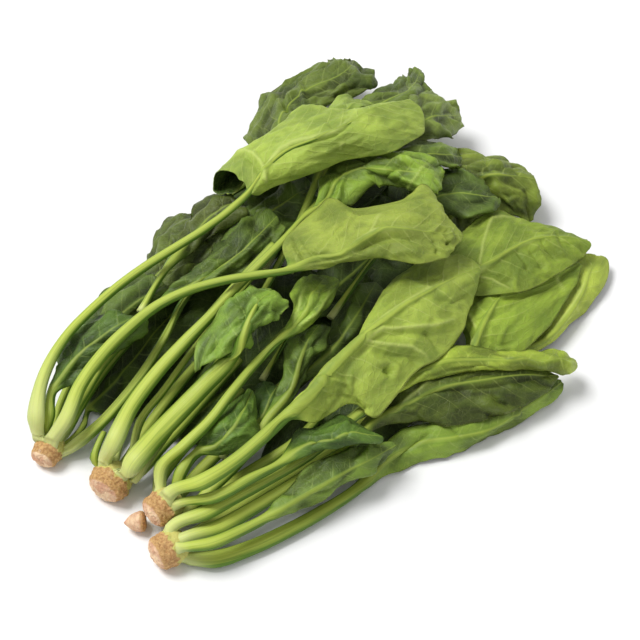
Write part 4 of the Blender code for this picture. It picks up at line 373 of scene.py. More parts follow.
     [(66, 419, 20, 7.4, 5.4), (80, 386, 25, 7.2, 5.4), (102, 355, 31, 6.6, 5.2), (130, 327, 37, 6.0, 4.8),
      (160, 304, 43, 5.4, 4.6), (190, 290, 48, 4.8, 4.2), (222, 281, 51, 4.6, 4.0), (256, 275, 53, 4.4, 3.8),
      (288, 270, 54, 4.2, 3.6)],
     [[(283, 241, 50), (296, 251, 52), (316, 262, 54), (320, 265, 54), (325, 268, 52)],
      [(311, 213, 50), (325, 232, 54), (344, 255, 57), (348, 259, 57), (353, 263, 54)],
      [(330, 199, 49), (345, 219, 55), (364, 240, 59), (371, 251, 57), (379, 258, 53)],
      [(358, 207, 48), (370, 217, 55), (387, 230, 59), (393, 246, 57), (401, 262, 52)],
      [(399, 199, 47), (400, 212, 53), (408, 230, 57), (414, 247, 55), (421, 264, 50)],
      [(423, 185, 45), (426, 205, 50), (431, 233, 53), (435, 246, 51), (441, 260, 47)],
      [(447, 215, 43), (455, 224, 45), (463, 236, 46), (459, 244, 46), (453, 252, 44)]]),
]

# ---------------------------------------------------------------- layout to space
BACK = np.array([math.sin(AZIMUTH) * math.cos(ELEVATION), -math.cos(AZIMUTH) * math.cos(ELEVATION), math.sin(ELEVATION)])
RIGHT = np.array([math.cos(AZIMUTH), math.sin(AZIMUTH), 0.0])
UPWARD = np.cross(BACK, RIGHT)
EYE = BACK * EYE_DISTANCE


def at(u, v, h):
    """The point at height h on the sight line through layout point (u, v)."""
    across = (u / LAYOUT_SIZE - 0.5) * LAYOUT_SPREAD
    down = (v / LAYOUT_SIZE - 0.5) * LAYOUT_SPREAD
    line = RIGHT * across - UPWARD * down - BACK
    return EYE + line * ((h - EYE[2]) / line[2])


def sightline(points):
    """Step toward the eye that raises each point by one millimetre."""
    line = EYE - points
    return line / line[..., 2:3]


def unit(v):
    return v / np.maximum(np.linalg.norm(v, axis=-1, keepdims=True), 1e-9)


def spline(t, values, q):
    """Smooth curve through values at parameters t, read at q."""
    t, values, q = np.asarray(t, float), np.asarray(values, float), np.asarray(q, float)
    shape = (-1,) + (1,) * (values.ndim - 1)
    step = np.diff(t).reshape(shape)
    slope = np.diff(values, axis=0) / step
    m = np.empty_like(values)
    m[0], m[-1] = slope[0], slope[-1]
    m[1:-1] = (step[1:] * slope[:-1] + step[:-1] * slope[1:]) / (step[1:] + step[:-1])
    k = np.clip(np.searchsorted(t, q, side="right") - 1, 0, len(t) - 2)
    h = (t[k + 1] - t[k]).reshape(shape)
    x = (q - t[k]).reshape(shape) / h
    return (
        (2 * x**3 - 3 * x**2 + 1) * values[k]
        + (x**3 - 2 * x**2 + x) * h * m[k]
        + (3 * x**2 - 2 * x**3) * values[k + 1]
        + (x**3 - x**2) * h * m[k + 1]
    )


# ---------------------------------------------------------------- plants and leaves
def plant_frame(key):
    """Crown centre, heading and left direction of a plant."""
    place, heading, _ = PLANTS[key]
    angle = math.radians(heading)
    return at(*place), np.array([math.cos(angle), math.sin(angle), 0.0]), np.array([-math.sin(angle), math.cos(angle), 0.0])


def control_rows(leaf):
    """Control rows of a leaf: stalk rows built round the stalk's line, then blade rows.
    Returns rows (R, K, 3), thickness (R,) and blade share (R,)."""
    _, plant, base, _, stalk, blade = leaf
    centre, heading, side = plant_frame(plant)
    count = len(blade[0]) if blade else 5
    line = [at(u, v, h) for u, v, h, _, _ in stalk]
    widths = [s[3] for s in stalk]
    thicks = [s[4] for s in stalk]
    if base:
        left, up, width, thick = base
        start = centre + heading * (PLANTS[plant][2][1] + 1.0) + side * left
        start[2] = up
        line, widths, thicks = [start] + line, [width] + widths, [thick] + thicks
    after = [np.mean([at(*p) for p in blade[0]], axis=0)] if blade else []
    rows = []
    for i, point in enumerate(line):
        if i == 0 and base:
            run = heading
        else:
            ahead = (line + after)[min(i + 1, len(line) + len(after) - 1)]
            run = unit(ahead - line[max(i - 1, 0)])
        lateral = unit(np.cross([0.0, 0.0, 1.0], run))
        reach = np.cos(np.pi * np.arange(count) / (count - 1)) * widths[i] / 2
        rows.append(point + reach[:, None] * lateral)
    for row in blade:
        rows.append(np.array([at(*p) for p in row]))
    share = [0.0] * len(line) + [1.0] * len(blade)
    thicks += [0.0] * len(blade)
    return np.array(rows), np.array(thicks), np.array(share)


def ring_grid(rows, thicks, share, per_gap, points, upright):
    """Loft: rings of points round the leaf, with each ring's place along and across."""
    middle = rows[:, rows.shape[1] // 2]
    chord = np.maximum(np.linalg.norm(np.diff(middle, axis=0), axis=1), 2.0)
    t = np.concatenate([[0.0], np.cumsum(chord)])
    along = []
    for i in range(len(rows) - 1):
        n = per_gap if share[i + 1] > 0 else 1
        along += [i + k / n for k in range(n)]
    along = np.array(along + [len(rows) - 1.0])
    q = np.interp(along, np.arange(len(rows)), t)
    skin = spline(t, rows, q)
    across = np.arange(points) / (points - 1)
    columns = np.arange(rows.shape[1]) / (rows.shape[1] - 1)
    skin = np.moveaxis(spline(columns, np.moveaxis(skin, 1, 0), across), 0, 1)
    b = np.interp(along, np.arange(len(rows)), share)[:, None]
    stalk_t = np.interp(along, np.arange(len(rows)), thicks)[:, None]
    blade_start = max(1, int(np.argmax(share > 0))) if share.max() > 0 else len(rows)
    fade = np.clip(1 - (along - blade_start) / max(1, len(rows) - 1 - blade_start), 0.15, 1)[:, None]
    edge = np.minimum(across, 1 - across)[None, :]
    blade_t = BLADE * np.minimum(1, 6 * edge) + MIDRIB * fade * np.exp(-(((across[None, :] - 0.5) / 0.1) ** 2))
    last_stalk = thicks[share == 0][-1]
    stalk_t = np.where(b > 0, last_stalk, stalk_t)
    half = ((1 - b) * stalk_t * np.sin(np.pi * across)[None, :] + b * blade_t) / 2
    gaps = np.linalg.norm(np.diff(skin, axis=1), axis=2)
    nearest = np.minimum(np.pad(gaps, ((0, 0), (0, 1)), mode="edge"), np.pad(gaps, ((0, 0), (1, 0)), mode="edge"))
    half = np.where(b > 0.99, np.minimum(half, 0.4 * nearest), half)  # thinner where a blade is gathered
    half[:, 0] = half[:, -1] = 0.0
    run = np.gradient(skin, axis=0)
    left = -np.gradient(skin, axis=1)
    normal = unit(np.cross(run, left))
    if upright:
        normal[0] = [0.0, 0.0, 1.0]
    top = skin + normal * half[..., None]
    bottom = skin - normal * half[..., None]
    rings = np.concatenate([top, bottom[:, -2:0:-1]], axis=1)
    s = np.concatenate([across, across[-2:0:-1]]) * (rows.shape[1] - 1)
    return rings, along, s


def loft_faces(count, points):
    """Triangles of a closed tube of count rings, each end closed by a strip that joins
    its upper points to its lower ones."""
    around = 2 * points - 2
    faces = []
    for i in range(count - 1):
        for m in range(around):
            n = (m + 1) % around
            a, b, c, d = i * around + m, i * around + n, (i + 1) * around + n, (i + 1) * around + m
            faces += [(a, b, c), (a, c, d)]
    for start, turned in ((0, True), ((count - 1) * around, False)):
        for k in range(points - 1):
            corners = [k, k + 1, around - k - 1, (around - k) % around]
            if turned:
                corners.reverse()
            a, b, c, d = [start + m for m in corners]
            faces += [f for f in ((a, b, c), (a, c, d)) if len(set(f)) == 3]
    return np.array(faces)


def leaf_mesh(rows, thicks, share, per_gap, points, upright):
    rings, along, s = ring_grid(rows, thicks, share, per_gap, points, upright)
    count, around = rings.shape[:2]
    return rings.reshape(-1, 3), loft_faces(count, points), np.repeat(along, around), np.tile(s, count)


# ---------------------------------------------------------------- laying down
def spots(vertices, faces, extra):
    """Points spread over every triangle closer than the map's cell, each with the
    values of extra (V, E) blended from its corners."""
    corners = vertices[faces]
    size = np.linalg.norm(corners - np.roll(corners, 1, axis=1), axis=2).max(1)
    pieces = np.clip(np.ceil(size / (0.7 * CELL)), 1, 60).astype(int)
    out = []
    full = np.concatenate([vertices, extra], axis=1)
    for k in np.unique(pieces):
        chosen = faces[pieces == k]
        a, b = np.meshgrid(np.arange(k + 1), np.arange(k + 1), indexing="ij")
        keep = a + b <= k
        w = np.stack([a[keep], b[keep], k - a[keep] - b[keep]], axis=1) / k
        out.append(np.einsum("wc,fce->fwe", w, full[chosen]).reshape(-1, full.shape[1]))
    return np.concatenate(out)


def cells(points):
    ix = np.clip(((points[:, 0] - MAP_X[0]) / CELL).astype(int), 0, MAP_SHAPE[0] - 1)
    iy = np.clip(((points[:, 1] - MAP_Y[0]) / CELL).astype(int), 0, MAP_SHAPE[1] - 1)
    return ix, iy


MAP_SHAPE = (int((MAP_X[1] - MAP_X[0]) / CELL), int((MAP_Y[1] - MAP_Y[0]) / CELL))


def widened(height):
    """Each cell takes the tallest of its neighbours."""
    out = height.copy()
    for dx in (-1, 0, 1):
        for dy in (-1, 0, 1):
            out = np.maximum(out, np.roll(np.roll(height, dx, 0), dy, 1))
    return out


def lay_down(leaf, height, per_gap, points):
    """Raise a leaf's control rows until it clears everything under it."""
    rows, thicks, share = control_rows(leaf)
    lift = np.zeros(rows.shape[:2])
    rise = sightline(rows)
    if leaf[2]:
        rise[0] = [0.0, 0.0, 1.0]  # the base stays at its distance from the crown
    under = widened(height)
    for turn in range(80):
        placed = rows + rise * lift[..., None]
        vertices, faces, i, j = leaf_mesh(placed, thicks, share, per_gap, points, bool(leaf[2]))
        s = spots(vertices, faces, np.stack([i, j], axis=1))
        ix, iy = cells(s)
        floor = under[ix, iy]
        need = np.where(floor > 0, floor + CLEAR, 0.0) - s[:, 2]
        bad = need > 1e-3
        if not bad.any():
            break
        s, need = s[bad], need[bad]
        ask = np.zeros_like(lift)
        r = np.clip(s[:, 3], 0, len(rows) - 1)
        c = np.clip(s[:, 4], 0, rows.shape[1] - 1)
        for i in (np.floor(r), np.ceil(r)):
            for j in (np.floor(c), np.ceil(c)):
                np.maximum.at(ask, (i.astype(int), j.astype(int)), need)
        most = ask.max(axis=1, keepdims=True)
        ask = np.maximum(ask, most * np.where(share == 0, 1.0, 0.75)[:, None])
        for _ in range(2):
            spread = ask.copy()
            spread[1:] = np.maximum(spread[1:], 0.6 * ask[:-1])
            spread[:-1] = np.maximum(spread[:-1], 0.6 * ask[1:])
            ask = spread
        lift += ask * 0.6 + 0.02 * (ask > 0)
    placed = rows + rise * lift[..., None]
    return placed, thicks, share, lift


def stamp(height, vertices, faces):
    s = spots(vertices, faces, np.zeros((len(vertices), 0)))
    ix, iy = cells(s)
    np.maximum.at(height, (ix, iy), s[:, 2])


# ---------------------------------------------------------------- crowns
def knobbly(direction, seed):
    """Gentle lumps on a crown, as a share of its radius."""
    x, y, z = direction
    return 0.035 * math.sin(5 * x + seed) * math.cos(4 * y - seed) + 0.03 * math.sin(7 * z + 2 * seed + 3 * x)


def flat_cut(bm, origin, normal):
    """Cut a body by a plane and close it with one flat face."""
    geometry = bm.verts[:] + bm.edges[:] + bm.faces[:]
    cut = bmesh.ops.bisect_plane(bm, geom=geometry, dist=1e-4, plane_co=origin, plane_no=normal, clear_outer=True)
    edges = [e for e in cut["geom_cut"] if isinstance(e, bmesh.types.BMEdge)]
    if edges:
        bmesh.ops.holes_fill(bm, edges=edges, sides=0)


def crown(key):
    """Domed stub, flattened where the leaves leave it and where it meets the ground."""
    centre, heading, side = plant_frame(key)
    dome, leaf_end, across, up = PLANTS[key][2]
    seed = ord(key)
    bm = bmesh.new()
    bmesh.ops.create_uvsphere(bm, u_segments=14, v_segments=9, radius=1.0)
    for vert in bm.verts:
        l, h, a = vert.co  # the sphere's poles lie along the heading
        swell = 1 + knobbly((a, l, h), seed)
        reach = a * dome * swell if a < 0 else a * leaf_end * 1.35
        vert.co = centre + heading * reach + side * (l * across * swell) + np.array([0, 0, h * up * swell])
    flat_cut(bm, tuple(centre + heading * leaf_end), tuple(heading))
    lowest = 0.0 if centre[2] < 10 else min(v.co.z for v in bm.verts)
    if lowest == 0.0:
        flat_cut(bm, (0.0, 0.0, 0.0), (0.0, 0.0, -1.0))
    return bm


def root_stub():
    """Pointed end of a fifth root, lying under the third crown."""
    tip, base = at(124, 523, 4.6), at(146, 521, 5.2)
    run = unit(base - tip)
    lateral = unit(np.cross([0, 0, 1.0], run))
    rise = np.cross(run, lateral)
    profile = [(0.0, 0.5), (0.1, 1.4), (0.28, 2.9), (0.5, 4.1), (0.75, 4.9), (1.0, 5.0)]
    bm = bmesh.new()
    length = np.linalg.norm(base - tip)
    rings = []
    for share, radius in profile:
        middle = tip + run * (share * length)
        ring = []
        for k in range(12):
            angle = 2 * math.pi * k / 12
            r = radius * (1 + 0.04 * math.sin(3 * angle + 5 * share))
            ring.append(bm.verts.new(middle + lateral * (math.cos(angle) * r) + rise * (math.sin(angle) * r)))
        rings.append(ring)
    for one, two in zip(rings, rings[1:]):
        for k in range(12):
            n = (k + 1) % 12
            bm.faces.new((one[k], one[n], two[n], two[k]))
    bm.faces.new(rings[0][::-1])
    bm.faces.new(rings[-1])
    bmesh.ops.recalc_face_normals(bm, faces=bm.faces[:])
    return bm


# ---------------------------------------------------------------- looks of each leaf
# side: which side of the leaf faces up. tint: that side's colour as seen in daylight.
# cell: spacing of the fine surface. quilt, wrinkle, ruffle: heights of the swelling
# between veins, of the wilted folds and of the wavy margin. vein: spacing of the side
# veins. slant: how far they lean forward. groove: depth of the stalk's channel.
# open: the midrib's column and its sizes where the blade is an open tube.
# marks: folds, veins and bites of the margin (kind, height, width, layout path).
# A rolled blade's inner face can take a colour of its own: the dark upper side with painted shade for the hollow.
COARSER = 1.12  # keeps the whole model under a million triangles
PLAIN = dict(side="upper", tint=(98, 128, 44), cell=0.9, quilt=0.3, wrinkle=2.4, ruffle=2.4,
             vein=10.0, slant=0.8, groove=0.0, rib=1.0, fold=8.0, marks=(), open=None,
             inside_with_shade=None, crush=1.5, ragged=1.5)
LOOKS = {
    # leaves low in the pile: a dark green of their own, darkened further as painted shade under the leaves above
    "leaf_u1": dict(tint=(66, 88, 28), cell=1.9),
    "leaf_u2": dict(tint=(60, 82, 26), cell=1.9),
    "leaf_u3": dict(tint=(60, 82, 26), cell=1.9),
    "leaf_u4": dict(tint=(54, 74, 24), cell=1.9),
    "leaf_u5": dict(tint=(54, 74, 24), cell=1.9),
    "leaf_d4": dict(crush=0.5, ragged=1.2, tint=(132, 162, 52), cell=0.85, wrinkle=1.3, ruffle=1.6, marks=(
        ("ridge", 1.3, 3.2, ((400, 459), (420, 450), (439, 443), (470, 437), (497, 430))),
        ("ridge", -1.6, 2.2, ((393, 462), (404, 452), (418, 442), (434, 430))),
        ("ridge", -0.9, 1.6, ((446, 424), (458, 436), (462, 445))),
        ("ridge", 1.8, 3.0, ((504, 416), (512, 405), (520, 419))))),
    "leaf_r3": dict(crush=0.3, ragged=0.9, side="under", tint=(180, 198, 76), cell=0.9, wrinkle=0.8, ruffle=0.8, marks=(
        ("vein", 0.8, 1.7, ((548, 337), (560, 322), (570, 310), (582, 290), (589, 273), (593, 262))),
        ("vein", 0.3, 1.0, ((572, 306), (580, 312))),)),
    "leaf_c8": dict(tint=(124, 142, 46), cell=0.85, wrinkle=2.4, marks=(
        ("ridge", 2.4, 3.0, ((441, 158), (455, 166), (474, 174), (492, 178), (508, 177))),
        ("ridge", -2.6, 3.4, ((446, 170), (462, 184), (478, 190), (492, 186))),
        ("ridge", -1.6, 2.2, ((500, 194), (510, 197), (522, 192))),
        ("ridge", 1.4, 2.6, ((504, 205), (512, 199), (526, 186))),
        ("ridge", -1.5, 2.0, ((484, 158), (490, 172))), ("ridge", -1.3, 2.0, ((512, 166), (520, 176))),
        ("ridge", 1.2, 2.0, ((516, 204), (528, 214))),)),
    "leaf_a9": dict(tint=(92, 110, 36), cell=0.9, wrinkle=2.6, fold=6.5, marks=(
        ("ridge", 2.6, 2.6, ((296, 84), (316, 77), (338, 68), (352, 62))),
        ("ridge", -3.0, 3.2, ((305, 96), (316, 92), (330, 88), (344, 76))),
        ("ridge", 2.2, 2.2, ((300, 84), (303, 96), (305, 108))),
        ("ridge", -2.8, 2.8, ((283, 92), (284, 104), (288, 114))),
        ("ridge", 1.8, 2.0, ((264, 100), (276, 97), (288, 88))),
        ("ridge", -2.2, 2.0, ((330, 100), (346, 90), (362, 82))))),
    "leaf_a7": dict(tint=(84, 100, 34), cell=1.0, wrinkle=2.4, fold=6.5, marks=(
        ("ridge", 1.6, 1.8, ((171, 232), (176, 246))), ("ridge", -2.4, 3.0, ((158, 256), (168, 262), (172, 272))),
        ("ridge", 1.8, 1.8, ((203, 226), (210, 208), (222, 200))), ("ridge", -2.2, 2.2, ((212, 222), (222, 208))))),
    "leaf_b7": dict(tint=(92, 112, 38), cell=1.0, wrinkle=2.2),
    "leaf_r2": dict(crush=0.35, ragged=0.9, side="under", tint=(146, 172, 54), cell=0.7, wrinkle=0.8, ruffle=0.7, marks=(
        ("vein", 0.9, 1.5, ((470, 350), (477.4, 335.7), (485.4, 318.2), (496.6, 300.7))),
        ("vein", 0.6, 1.2, ((467.8, 313.4), (474.2, 324.6), (478.2, 332.6))),
        ("vein", 0.5, 1.1, ((554, 274), (560, 284), (566, 294))),
        ("ridge", -1.2, 4.0, ((500, 300), (530, 291), (556, 276))),
        ("ridge", 1.0, 6.0, ((505, 325), (535, 308), (560, 290))),
        ("ridge", -0.8, 3.0, ((484, 338), (500, 345), (515, 344))))),
    "leaf_r1": dict(crush=0.4, ragged=0.9, side="under", tint=(130, 152, 48), cell=0.65, wrinkle=0.9, ruffle=0.8, marks=(
        ("vein", 1.0, 1.7, ((480, 272), (496.6, 259.2), (512.5, 249.6), (528.5, 243.2), (546, 235))),
        ("vein", 0.8, 1.3, ((479.8, 264), (483, 245), (487, 230.5), (492, 219), (503, 215.5), (516, 218), (527, 226))),
        ("vein", 0.9, 1.3, ((479.8, 277.5), (492, 279), (504.5, 285.5), (514, 292))),
        ("ridge", -1.6, 2.6, ((524, 266), (532, 272), (545, 277), (556, 276))),
        ("ridge", -1.0, 1.6, ((516, 251), (524, 261), (530, 268))), ("ridge", -1.0, 1.6, ((527, 248), (538, 262), (545, 272))),
        ("ridge", -1.1, 1.6, ((539, 239), (548, 250), (558, 262))), ("ridge", -1.1, 1.5, ((556, 232), (562, 242), (572, 246))),
        ("ridge", 1.0, 2.4, ((533, 244), (542, 256), (551, 270))), ("ridge", 1.1, 2.2, ((552, 238), (560, 250), (566, 258))),
        ("ridge", -1.2, 5.0, ((486, 276), (500, 279), (512, 284))))),
    "leaf_d2": dict(crush=0.9, ragged=1.2, tint=(78, 94, 22), cell=0.8, wrinkle=1.4, ruffle=1.4, marks=(
        ("vein", 0.9, 1.8, ((388, 415), (408, 398.5), (426, 384.5), (438, 375))),
        ("ridge", -1.8, 2.2, ((420, 398), (435, 392), (450, 390), (470, 389), (492, 387), (520, 382), (548, 376))),
        ("ridge", 1.5, 2.4, ((447, 418), (471, 408.5), (492, 402.5))),
        ("ridge", -3.0, 3.4, ((486, 415), (505, 413))), ("ridge", -2.4, 2.2, ((492, 394), (496, 402), (510, 405))),
        ("ridge", 1.4, 1.8, ((390, 411), (402, 409), (416, 410), (428, 422))))),
    "leaf_d1": dict(crush=0.5, ragged=1.1, tint=(168, 190, 60), cell=0.8, wrinkle=1.2, ruffle=1.4, marks=(
        ("ridge", 2.0, 2.4, ((503, 357), (515, 359.5), (537, 366), (559, 362), (572, 365))),
        ("ridge", -2.4, 2.6, ((556, 352), (566, 357), (572, 360))),
        ("ridge", -1.6, 2.0, ((446, 371), (470, 368), (486, 364))),
        ("ridge", 1.4, 1.6, ((383, 398), (404, 388), (426, 374), (446, 369))))),
    "leaf_c7": dict(tint=(84, 108, 38), cell=1.1, wrinkle=2.4, fold=6.0),
    "leaf_c6": dict(tint=(80, 116, 42), cell=1.0, wrinkle=2.4, fold=5.5),
    "leaf_c4": dict(tint=(98, 126, 44), cell=0.9, wrinkle=1.8, fold=6.5, marks=(
        ("vein", 0.5, 1.3, ((293, 386), (300, 361), (306, 342))), ("ridge", -1.6, 2.0, ((316, 342), (312, 362), (305, 378))))),
    "leaf_a6": dict(tint=(88, 112, 38), cell=0.9, wrinkle=2.2, fold=5.5),
    "leaf_a3": dict(tint=(92, 118, 42), cell=0.9, wrinkle=2.6, groove=0.35, fold=6.0),
    "leaf_a8": dict(tint=(72, 84, 28), cell=1.0, wrinkle=2.4, fold=5.5),
    "leaf_c9": dict(tint=(86, 110, 38), cell=1.0, wrinkle=2.4, fold=6.0),
    "leaf_b8": dict(tint=(124, 144, 62), cell=1.0, wrinkle=2.2, fold=5.0),
    "leaf_b5": dict(side="under", tint=(142, 164, 70), cell=0.9, wrinkle=1.2),
    "leaf_b4": dict(tint=(110, 134, 48), cell=0.8, wrinkle=2.0, fold=5.5, marks=(
        ("ridge", -2.2, 2.4, ((386, 158), (400, 152), (418, 153), (432, 160))),
        ("ridge", 1.8, 2.0, ((392, 164), (410, 160), (430, 166), (448, 164))))),
    "leaf_a4": dict(tint=(86, 110, 36), cell=0.8, wrinkle=2.6, fold=4.4, marks=(
        ("ridge", -2.2, 1.8, ((200, 282), (222, 264), (244, 246), (262, 222))),
        ("ridge", 2.0, 1.8, ((206, 285), (228, 268), (250, 250), (270, 228))),
        ("ridge", -2.0, 1.6, ((216, 286), (238, 272), (262, 250), (276, 236))),
        ("ridge", 1.6, 1.6, ((198, 272), (222, 254), (240, 236), (256, 216))))),
    "leaf_a5": dict(tint=(74, 104, 34), cell=0.8, wrinkle=2.4, fold=4.6),
    "leaf_d3": dict(tint=(106, 134, 46), cell=0.8, wrinkle=1.8, fold=6.0),
    "leaf_c5": dict(crush=0.5, ragged=1.0, tint=(76, 110, 36), cell=0.7, wrinkle=0.9, ruffle=1.2, marks=(
        ("ridge", 1.2, 2.0, ((300, 436), (318, 438), (336, 434), (352, 418))),
        ("ridge", -1.0, 1.4, ((312, 446), (322, 439), (340, 439))), ("ridge", -0.8, 1.4, ((345, 441), (350, 430), (352, 420))))),
    "leaf_c2": dict(crush=0.7, ragged=1.0, tint=(96, 132, 42), cell=0.7, wrinkle=1.2, ruffle=1.4, fold=5.0, marks=(
        ("ridge", -1.6, 1.6, ((252, 388), (246, 404), (232, 420), (222, 440))),
        ("ridge", 1.2, 1.6, ((220, 448), (234, 436), (246, 434), (256, 440))))),
    "leaf_c1": dict(crush=0.4, ragged=1.0, tint=(160, 194, 66), cell=0.62, wrinkle=0.8, ruffle=1.0, marks=(
        ("vein", 0.7, 1.4, ((294, 325), (300, 306), (303, 292), (306, 284))),
        ("vein", 0.7, 1.3, ((297, 324), (310, 306), (313, 292), (308, 282))),
        ("vein", 0.6, 1.2, ((300, 326), (318, 312), (328, 296), (332, 282))),
        ("vein", 0.5, 1.0, ((294, 318), (294, 304), (288, 292))),
        ("ridge", -1.2, 2.4, ((300, 314), (306, 298), (309, 288))), ("ridge", -1.0, 2.0, ((306, 318), (320, 300), (322, 286))))),
    "stalk_b6": dict(tint=(150, 175, 70)),
    "leaf_b1": dict(tint=(150, 175, 70)),
    "leaf_b2": dict(tint=(134, 166, 54), cell=0.68, wrinkle=1.8, ruffle=1.6, fold=6.0, marks=(
        ("ridge", 1.6, 2.0, ((360, 168), (378, 160), (396, 160), (420, 166))),
        ("ridge", -1.6, 2.0, ((362, 174), (384, 178), (398, 168), (404, 158))),
        ("vein", 0.6, 1.2, ((404, 192), (414, 180), (424, 166), (434, 160))),
        ("ridge", -1.6, 1.8, ((326, 198), (330, 184), (334, 176))), ("ridge", 1.4, 1.6, ((334, 204), (340, 188), (346, 174))))),
    "leaf_b3": dict(tint=(126, 162, 56), cell=0.62, open=(2, ((7.2, 5.4), (6.6, 5.0), (4.8, 3.6), (2.0, 1.5), (1.0, 0.8))), wrinkle=2.2, ruffle=2.6, fold=4.6, marks=(
        ("ridge", -1.8, 1.6, ((204, 362), (222, 338), (240, 322), (262, 306))),
        ("ridge", 1.6, 1.8, ((212, 366), (228, 342), (248, 326), (270, 300))),
        ("ridge", -1.6, 1.6, ((236, 300), (246, 316), (252, 336))), ("ridge", 1.2, 1.4, ((252, 296), (262, 308), (276, 314))))),
    "leaf_c3": dict(crush=0.3, ragged=0.8, side="under", tint=(160, 180, 70), cell=0.56, wrinkle=0.7, ruffle=1.0, quilt=0.25, marks=(
        ("vein", 1.1, 2.2, ((295, 411), (327, 371), (359.8, 340.8), (390, 314), (425, 291), (448, 283), (472, 274))),
        ("vein", 1.3, 1.5, ((369, 338), (383, 329), (409.6, 327.4), (434.4, 325.5), (463, 316))),
        ("vein", 1.2, 1.5, ((367, 341), (386.6, 344.6), (411.5, 346.5), (424, 354), (431, 366))),
        ("ridge", -1.6, 4.0, ((384, 336), (410, 334), (440, 333), (458, 328))),
        ("ridge", -2.0, 4.0, ((372, 350), (392, 356), (410, 356), (420, 366))),
        ("ridge", -4.2, 3.6, ((384, 369), (392, 374))),
        ("ridge", 1.4, 2.6, ((378, 364), (390, 361), (397, 368), (394, 380))),
        ("ridge", 1.4, 2.2, ((318, 383), (334, 380), (348, 384), (353, 393))),
        ("ridge", -1.4, 3.2, ((322, 396), (338, 394), (350, 400))),
        ("ridge", -1.0, 1.8, ((424, 330), (432, 340), (438, 352))), ("ridge", 1.0, 3.0, ((350, 372), (352, 388), (346, 404))),
        ("ridge", 0.9, 2.0, ((404, 279), (420, 285), (433, 290))), ("ridge", -1.2, 2.6, ((436, 297), (452, 303), (468, 296))),
        ("ridge", -1.2, 2.4, ((356, 400), (362, 410), (374, 406))))),
    "leaf_a1": dict(crush=0.22, ragged=0.8, side="under", tint=(158, 180, 72), cell=0.58, wrinkle=0.7, ruffle=0.7, quilt=0.25, open=(4, ((4.0, 3.0), (3.4, 2.4), (2.6, 1.9), (2.0, 1.5), (1.5, 1.1), (1.0, 0.7))), inside_with_shade=(52, 74, 26), marks=(
        ("vein", 1.0, 1.6, ((264, 178), (266.4, 168.5), (272.4, 158.8), (281, 150.3), (293, 143), (307.6, 139.4), (322, 135.8), (333, 132.7), (342.7, 127.3), (347.6, 121.2), (354, 115), (362, 109))),
        ("ridge", -1.3, 2.0, ((276, 159), (284, 152), (294, 146.5), (308, 142.5), (323, 139), (335, 135.5), (345, 129.5), (351, 122))),
        ("vein", 1.0, 1.3, ((265, 182), (264.5, 169.7), (260.3, 161.2), (254, 154.5), (245.8, 151), (237, 152), (230, 157))),
        ("ridge", -1.2, 2.6, ((259, 176), (256, 166), (250, 159), (242, 156))),
        ("ridge", -1.0, 1.6, ((326, 120), (330, 125), (334, 128.5))),
        ("ridge", 0.9, 3.0, ((302, 160), (322, 154), (340, 146), (366, 136))),
        ("vein", 0.4, 0.9, ((340, 150), (341, 145), (343, 141))),
        ("ridge", -1.2, 3.0, ((232, 186), (238, 178), (246, 172))),
        ("bite", 3.4, 5.0, ((388, 113), (389, 112))), ("bite", 2.4, 4.0, ((332, 112), (334, 111))))),
    "leaf_a2": dict(crush=0.3, ragged=0.8, side="under", tint=(144, 160, 62), cell=0.55, wrinkle=0.7, ruffle=1.0, quilt=0.25, marks=(
        ("vein", 1.3, 1.8, ((300, 267), (334, 257.5), (347, 253), (360, 241), (375, 232), (399, 229), (412, 230), (424, 233))),
        ("ridge", -2.6, 4.2, ((356, 251), (370, 243), (392, 237), (412, 239), (422, 240))),
        ("ridge", 1.6, 4.0, ((392, 253), (408, 250), (420, 252))),
        ("ridge", -1.1, 1.5, ((344, 221), (338, 230), (330, 238), (318, 250))),
        ("ridge", 0.9, 1.8, ((350, 220), (343, 231), (334, 241))),
        ("ridge", -1.4, 1.4, ((292, 234), (297, 246), (304, 258))), ("ridge", 1.2, 1.5, ((290, 244), (294, 254), (300, 262))),
        ("ridge", -1.2, 1.4, ((300, 236), (306, 247), (314, 256))), ("ridge", 1.0, 1.6, ((308, 250), (318, 254), (328, 250))),
        ("vein", 0.5, 1.0, ((371, 233), (377, 220), (384, 212))), ("ridge", 1.8, 2.2, ((428, 234), (438, 228), (448, 230), (452, 238), (446, 244))),
        ("ridge", -3.0, 2.6, ((446, 242), (450, 244))), ("ridge", 1.4, 1.8, ((436, 246), (444, 252), (454, 248))),
        ("ridge", -1.4, 2.2, ((432, 240), (438, 248), (436, 256))), ("ridge", -1.0, 3.0, ((408, 222), (420, 224), (432, 220))))),
}
# low stalks that run on under the others to their crown
REACHING = ("leaf_u1", "leaf_u2", "leaf_u3", "stalk_a1", "stalk_a2", "stalk_b1", "stalk_b2", "stalk_b3",
            "stalk_c1", "stalk_c2", "stalk_c3", "stalk_d1")
# stalk colours: a painted highlight for a stalk's top, and its green darkened as painted shade for its sides
STALK_HIGHLIGHT = (190, 204, 84)
STALK_GREEN_IN_SHADE = (92, 130, 34)


def daylight(colour, gain=1.0):
    """Linear value of a colour given on the 0 to 255 display scale."""
    c = np.array(colour, float) / 255.0
    lin = np.where(c <= 0.04045, c / 12.92, ((c + 0.055) / 1.055) ** 2.4)
    return tuple(float(x) for x in np.clip(lin * gain, 0, 1))


